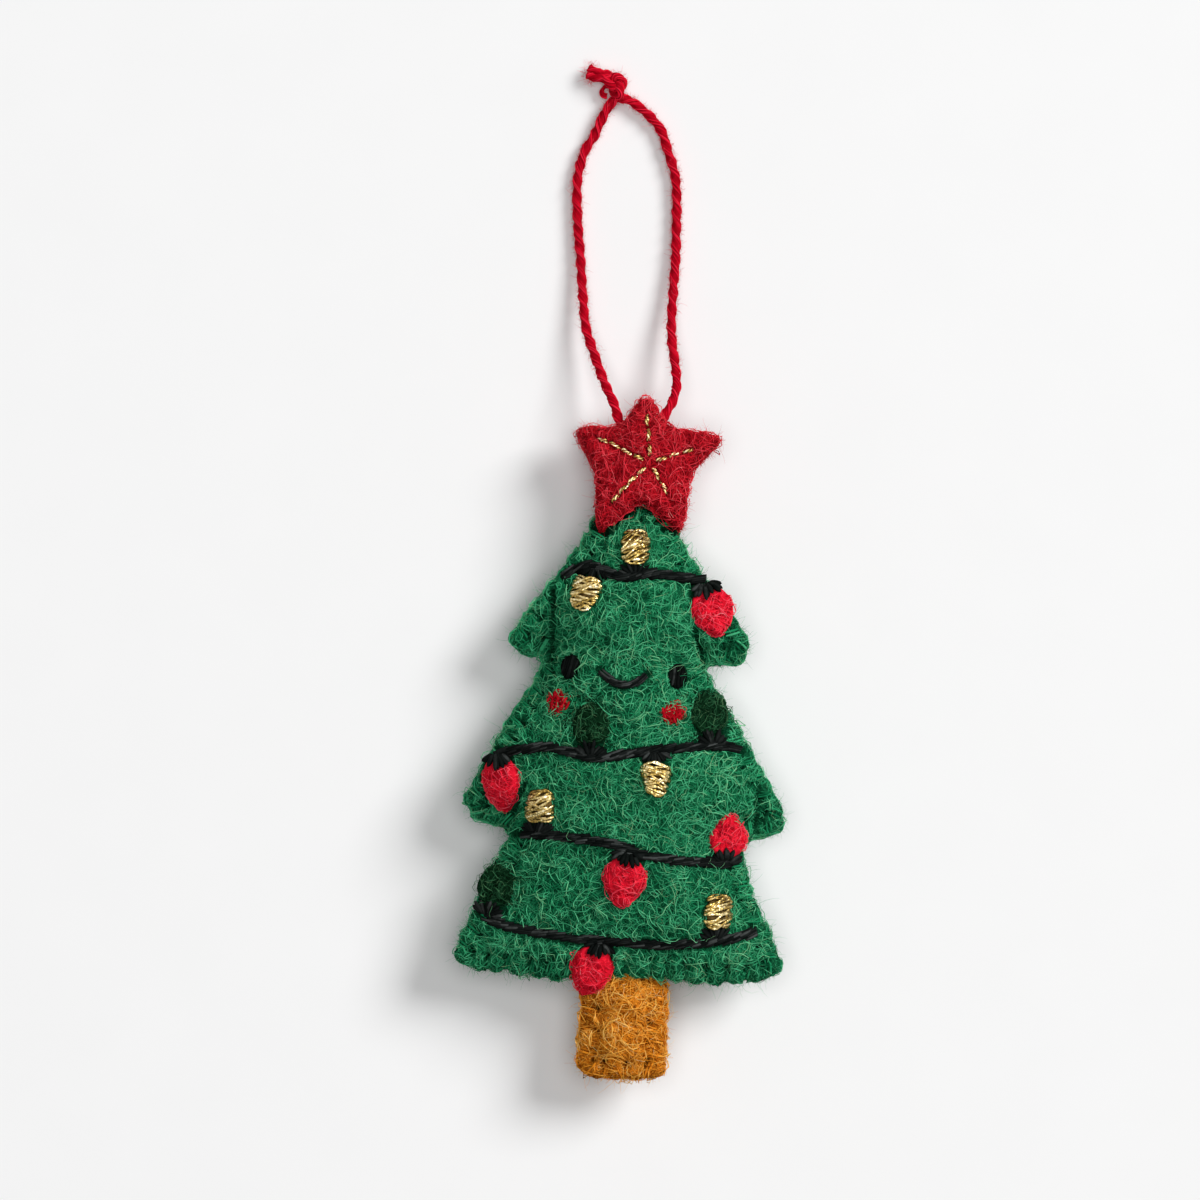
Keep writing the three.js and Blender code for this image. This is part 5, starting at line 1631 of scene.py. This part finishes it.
def make_bulbs(finishes, level):
    """Thirteen bulbs and their sockets. Red and dark green ones are domes of wool fibres; gold ones are
    wrapped across with film thread. A bulb's neck runs in under its socket."""
    seed = 200
    for kind, count in BULB_COUNTS.items():
        length, width, height = BULB_KINDS[kind]
        slot = BULB_SLOTS[kind]
        for number in range(1, count + 1):
            seed += 7
            name = f"{kind}_bulb_{number}"
            middle = node_middle(name)[:2]
            socket = node_middle(f"{name}_socket")[:2]
            axis = unit(middle - socket)
            side = rightward(axis)
            neck = NECKS[kind]
            middle = middle - neck / 2 * axis
            longer, slimmer = SLIM.get(name, USUAL_SIZE)
            size = ((length + neck) * longer, width * slimmer)
            if kind == "gold":
                slim = GOLD_TAPERS[number - 1]
                core_long, core_wide, core_high = GOLD_CORE
                edge = egg_edge(middle, axis, (size[0] * core_long, width * core_wide), slim, 0.0)
                face, under = sewn_patch(middle, edge, height * core_high, level, seed)
                wrapped = (width * GOLD_WRAP[0], size[0] * GOLD_WRAP[1])
                wraps = gold_rows(middle, side, axis, wrapped, slim, height, level, seed)
                put_piece(f"{name}_wraps", wraps, finishes[slot], slot, name)
                core = solid_patch(face, under, GOLD_CORE_SHADE_TONE)
                put_piece(f"{name}_core", core, finishes["gold_core"], slot, name)
            else:
                edge = egg_edge(middle, axis, size, TAPERS[kind], POINTS[kind])
                face, under = sewn_patch(middle, edge, height * WOOL_DOME, level, seed)
                wool = curls(face, seed=seed, press=behind(socket, axis), **BULB_WOOL[slot])
                # The dome under the fibres is painted dark, as shade between them
                shape = join_shapes(solid_patch(face, under, WOOL_DOME_SHADE_TONE), wool)
                put_piece(f"{name}_wool", shape, finishes[slot], slot, name)
            sewn = petals(socket, axis, face, level, *SOCKETS[kind], seed + 2)
            put_piece(f"{name}_socket_stitches", sewn, finishes["black_thread"], "black_thread",
                      f"{name}_socket")


def solid_patch(face, under, tone):
    """A padded patch as a closed shape of one tone."""
    points, faces = closed_half(face.outer[:, :-1], under[:, :-1], 1, True)
    return points, faces, np.full(len(points), tone)


# Face

UPWARD = np.array([-math.sin(FACE_TILT), math.cos(FACE_TILT)])
RIGHTWARD = rightward(UPWARD)


def eye_lean(number):
    """The way up of the left eye, 0, which leans to the right, or of the right eye, 1."""
    return unit(UPWARD + (0.2 - 0.2 * number) * RIGHTWARD)


def smile_route():
    """The smile, a parabola between the eyes."""
    middle = (node_middle("eye_left") + node_middle("eye_right"))[:2] / 2
    share = np.linspace(-1, 1, 45)[:, None]
    return middle + share * SMILE_WIDTH / 2 * RIGHTWARD + SMILE_DROP * (share**2 - 1) * UPWARD


def make_face(finishes, level):
    """Satin-stitched eyes, a stem-stitched smile and felted cheeks with a few strands over them."""
    for number, side in enumerate(("left", "right")):
        lean = eye_lean(number)
        middle = node_middle(f"eye_{side}")[:2]
        tall = EYE_SIZE[::-1]
        eye = satin(middle, lean, tall, level=level, seed=300 + number, **EYE_STITCHES)
        edge = egg_edge(middle, lean, tall, 0.0, 0.0)
        face, under = sewn_patch(middle, edge, EYE_PAD, level, 305 + number, 0.05)
        shape = join_shapes(eye, solid_patch(face, under, 0.2))
        put_piece(f"eye_{side}_stitches", shape, finishes["black_thread"], "black_thread", f"eye_{side}")
        slant = unit(UPWARD + CHEEK_SLANTS[number] * RIGHTWARD)
        middle = node_middle(f"cheek_{side}")[:2]
        edge = egg_edge(middle, slant, CHEEK_PAD, 0.1, 0.0)
        face, under = sewn_patch(middle, edge, CHEEK_PAD_HEIGHT, level, 315 + number)
        points, faces, tones = curls(face, seed=320 + number, **CHEEK_WOOL)
        wool = (points, faces, tones - CHEEK_DARK)
        strands = satin(middle, slant, CHEEK_OVAL, level=level, seed=310 + number, **CHEEK_STITCHES)
        shape = join_shapes(solid_patch(face, under, 0.1), wool, strands)
        put_piece(f"cheek_{side}_stitches", shape, finishes["red_fibre"], "red_felt", f"cheek_{side}")
    shape = stem_stitches(even(smile_route(), 0.2), level, 330, SMILE_SLANT, SMILE_SLENDER)
    put_piece("smile_stitches", shape, finishes["black_thread"], "black_thread", "smile")


# Hanger

def yarn_places(route):
    """Places of route points, x and y from the star's middle and the lift above the floor."""
    route = np.array(route, float)
    z = np.clip(route[:, 2] - BACK_DEPTH, YARN / 2 + 0.1 - BACK_DEPTH, 0)
    return raised(route[:, :2] + STAR_MIDDLE, z)


def yarn_strands(path, kind, seed):
    """Fine strands wound round a yarn's path, over a core. Their distance from it swells and shrinks twice
    a turn, because the yarn is two plies. Strands further out are painted lighter and those in the grooves
    between the plies darker, and the core is painted dark: painted light and shade."""
    count, reach = YARN_STRANDS[kind]
    rng = np.random.default_rng(seed)
    run = run_along(path)
    side, lift = path_frame(path, UP)
    twist = 2 * np.pi * run / YARN_PITCH
    spread = 2 * np.pi * (np.arange(count) + rng.uniform(-0.25, 0.25, count))[:, None] / count
    wander = 0.25 * np.sin(run / rng.uniform(2, 5, (count, 1)) + rng.uniform(0, 6, (count, 1)))
    out = reach * (0.75 + 0.18 * np.cos(2 * spread)) + 0.05 * np.sin(run / 1.3 + 9 * spread)
    angle = twist + spread + wander
    way = np.cos(angle)[..., None] * side + np.sin(angle)[..., None] * lift
    wide = 3.6 * reach / count * rng.uniform(0.9, 1.3, (count, 1))
    # Painted light and shade: strands on the plies' crests are lighter, those between them darker
    tone = np.clip(0.46 + 0.13 * np.cos(2 * spread[:, 0]) + rng.normal(0, 0.12, count), 0.05, 0.75)
    strands = threads(path + out[..., None] * way, way, wide, wide, 5, tone=tone)
    # The core is painted dark, as shade seen between the strands
    core = threads(path[None], UP, 1.6 * reach, 1.6 * reach, 9, tone=0.1)
    return join_shapes(strands, core)


def yarn_hairs(path, count, length, seed):
    """Loose hairs of a yarn: each leaves its surface at a random place and angle and bends as it goes."""
    rng = np.random.default_rng(seed)
    t = np.linspace(0, 1, HAIR_POINTS)
    place = path[rng.integers(0, len(path), count)]
    angle = rng.uniform(0, 2 * np.pi, (count, 1)) + rng.normal(0, 1.0, (count, 1)) * t
    steep = rng.uniform(-0.4, 0.7, (count, 1))
    step = length * rng.gamma(2.0, 0.5, (count, 1)) / (HAIR_POINTS - 1)
    way = np.stack([np.cos(angle), np.sin(angle), np.broadcast_to(steep, angle.shape)], -1)
    hair = place[:, None] + 0.75 * way[:, :1] + np.cumsum(way, 1) * step[..., None]
    hair[..., 2] = np.maximum(hair[..., 2], 0.05 - BACK_DEPTH)
    tone = np.clip(rng.normal(0.6, 0.2, count), 0, 1)
    thick = YARN_HAIR - YARN_HAIR_TAPER * t
    return threads(hair, UP, thick, thick, 3, tone=tone)


def put_yarn(name, shape, finishes, *nodes):
    """A piece of red yarn that rides on the hanger."""
    return put_piece(name, shape, finishes["red_yarn"], "red_wool", *nodes, body="hanger")


def make_hanger(finishes):
    """The yarn loop, a two-ply cord from one side of the star's top point up to the knot and back down to
    the other side, with its knot, its two frayed tails and its hairs."""
    left = YARN_ROUTE[LEFT_EXIT:1:-1]
    right = YARN_ROUTE[-3:RIGHT_EXIT:-1]
    path = spline(yarn_places(LEFT_ENTRY + left + ARCH + right + RIGHT_ENTRY), YARN_STEP)
    loop = put_yarn("yarn_loop", yarn_strands(path, "loop", 400), finishes, "hanging_loop")

    t = np.linspace(0, 2 * np.pi, 90)
    middle = node_middle("loop_knot") + KNOT_SHIFT
    turned = np.stack([np.sin(t) + 2 * np.sin(2 * t), np.cos(t) - 2 * np.cos(2 * t)], 1) / 3
    lengthwise = np.array([math.cos(KNOT_TURN), math.sin(KNOT_TURN)])
    crosswise = np.array([-lengthwise[1], lengthwise[0]])
    flat = turned[:, :1] * KNOT_SIZE[0] * lengthwise + turned[:, 1:] * KNOT_SIZE[1] * crosswise
    ring = raised(middle[:2] + flat, middle[2] - KNOT_WAVE * np.sin(3 * t))
    curl = spline(yarn_places([(*place, CURL_LIFT) for place in CURL_ROUTE]), 0.2)
    shape = join_shapes(yarn_strands(ring, "knot", 403), yarn_strands(curl, "curl", 404))
    pieces = [put_yarn("loop_knot_yarn", shape, finishes, "loop_knot")]

    for number, (side, end) in enumerate(TAIL_ENDS.items()):
        tip = yarn_places([(*end, TAIL_TIP_LIFT)])[0]
        root = TAIL_ROOT * lengthwise + (number - 0.5) * TAIL_APART * crosswise
        start = middle + np.append(root, TAIL_LIFT)
        between = (start + tip) / 2 + np.append((0.5 - number) * TAIL_BOW * crosswise, TAIL_LIFT)
        tail = spline([start, between, tip], YARN_STEP)
        frayed = yarn_hairs(tail[-FRAYED_END:], 120, 0.5, 410 + number)
        shape = join_shapes(yarn_strands(tail, "tail", 405 + number), frayed)
        pieces.append(put_yarn(f"loop_tail_{side}_yarn", shape, finishes, f"loop_tail_{side}"))
    hairs = join_shapes(yarn_hairs(path[BARE_END:-BARE_END], 5600, 0.3, 401), yarn_hairs(ring, 400, 0.3, 402))
    pieces.append(put_yarn("yarn_hairs", hairs, finishes))


# Assembly

STAR_SEAM = star_outline()
TRUNK_ROWS = trunk_rows()
TRUNK_SEAM = outline_of(TRUNK_ROWS)


def sewn_on_tree(point):
    """Which points of the tree's edge have overcast stitches: all but those of the hem beside the trunk."""
    beside = TRUNK_TOP_WIDTH / 2 + TRUNK_BESIDE
    return (point[:, 1] > HEM_EDGE) | (np.abs(point[:, 0] - TRUNK_X) > beside)


def sewn_on_trunk(point):
    """Which points of the trunk's edge have overcast stitches: those below the tree's hem."""
    return point[:, 1] < -TRUNK_BARE


def tree_press(marks):
    """Where the tree's front is pressed in and painted darker, as painted shade: at the stitches of its edge,
    creases, wires, bulbs and face, and along the star's edge, where the darkening is the star's painted
    shadow."""
    places = seam_marks(TREE_SEAM, marks, sewn_on_tree)
    places += [(even(np.array(crease), FOLD_STEP), *PRESSES["crease"]) for crease in CREASES]
    places += [(wire_route(*wire)[::2], *PRESSES["wire"]) for wire in WIRES]
    places.append((even(smile_route(), FOLD_STEP), *PRESSES["wire"]))
    over_tree = STAR_SEAM.points[:, 1] < TREE_HEIGHT + TIP_GAP
    places.append((STAR_SEAM.points[over_tree], *PRESSES["star"]))
    for kind, count in BULB_COUNTS.items():
        for number in range(1, count + 1):
            bulb, socket = (node_middle(f"{kind}_bulb_{number}{end}")[:2] for end in ("", "_socket"))
            reach = BULB_PRESS * BULB_KINDS[kind][1]
            places.append((even(np.array([socket, bulb]), LINE_STEP), reach, BULB_PRESS_STRENGTH))
    for number, side in enumerate(("left", "right")):
        middle = node_middle(f"eye_{side}")[:2]
        reach = eye_lean(number) * (EYE_SIZE[1] - EYE_SIZE[0]) / 2
        line = even(np.array([middle - reach, middle + reach]), LINE_STEP)
        places.append((line, EYE_SIZE[0] * EYE_PRESS, 1.0))
    return pressed((-TREE_WIDTH / 2, 0), (TREE_WIDTH / 2, TREE_HEIGHT), places)


def trunk_press(marks):
    """Where the trunk's front is pressed in and painted darker, as painted shade: at the stitches of its
    edge.
    """
    places = seam_marks(TRUNK_SEAM, marks, sewn_on_trunk)
    return pressed((-TRUNK_BOTTOM_WIDTH, -TRUNK_DROP), (TRUNK_BOTTOM_WIDTH, TRUNK_TUCK), places)


def star_press():
    """Where the star's front is pressed in and painted darker, as painted shade: along its rays."""
    places = [(even(np.array(ray_ends(point)), LINE_STEP), *PRESSES["ray"]) for point in STAR_POINTS]
    return pressed(STAR_MIDDLE - STAR_REACH, STAR_MIDDLE + STAR_REACH, places)


def make_edges(finishes, marks, faces):
    """The overcast stitches round the tree and the trunk."""
    edges = overcast(TREE_SEAM, marks["tree"], faces["tree"], sewn_on_tree, 35)
    put_piece("tree_edge_stitches", edges, finishes["green_fibre"], "green_felt", "tree_edge_stitching")
    edges = overcast(TRUNK_SEAM, marks["trunk"], faces["trunk"], sewn_on_trunk, 36)
    put_piece("trunk_edge_stitches", edges, finishes["brown_fibre"], "brown_felt", "trunk_edge_stitching")


def make_fuzz(finishes, face):
    """Dark green wool on the tree's felt round each dark green bulb."""
    for number in range(1, BULB_COUNTS["dark_green"] + 1):
        middle = node_middle(f"dark_green_bulb_{number}")[:2]
        ring = (middle, FUZZ_SHARE * BULB_KINDS["dark_green"][1])
        wool = curls(face, seed=340 + number, around=ring, **FUZZ_WOOL)
        put_piece(f"dark_green_bulb_{number}_fuzz", wool, finishes["dark_green_wool"], "dark_green_wool")


def make_fibres(finishes, faces, presses):
    """The fibres on both faces of each stuffed part, and the hairs round its edge."""
    seams = {"tree": TREE_SEAM, "star": STAR_SEAM, "trunk": TRUNK_SEAM}
    for part, rows in FIBRES.items():
        finish = finishes[FIBRE_FINISHES[part]]
        slot = STUFFED[part][0]
        for name, (side, seed, wool) in rows.items():
            press = None if side < 0 or wool is STRAY_WOOL else presses[part]
            fibres = curls(faces[part][side], seed=seed, press=press, **wool)
            put_piece(f"{part}_{name}", fibres, finish, slot)
        put_piece(f"{part}_edge_hairs", edge_hairs(seams[part], **EDGE_HAIRS[part]), finish, slot)


make_camera()
make_stage()
finishes = make_finishes()
make_hanger(finishes)
marks = {
    "tree": stitch_marks(TREE_SEAM, STITCH_PITCH, 11),
    "trunk": stitch_marks(TRUNK_SEAM, TRUNK_STITCH_PITCH, 12),
}
presses = {"tree": tree_press(marks["tree"]), "trunk": trunk_press(marks["trunk"]), "star": star_press()}
faces = {
    "tree": make_tree(finishes, marks["tree"], presses["tree"]),
    "trunk": make_trunk(finishes, TRUNK_ROWS, TRUNK_SEAM, marks["trunk"], presses["trunk"]),
    "star": make_star(finishes, presses["star"]),
}
make_edges(finishes, marks, faces)
tree_front = faces["tree"][1]
level = functools.partial(front_level, tree_front)
make_wires(finishes, level)
make_bulbs(finishes, level)
make_face(finishes, level)
make_fuzz(finishes, tree_front)
make_fibres(finishes, faces, presses)
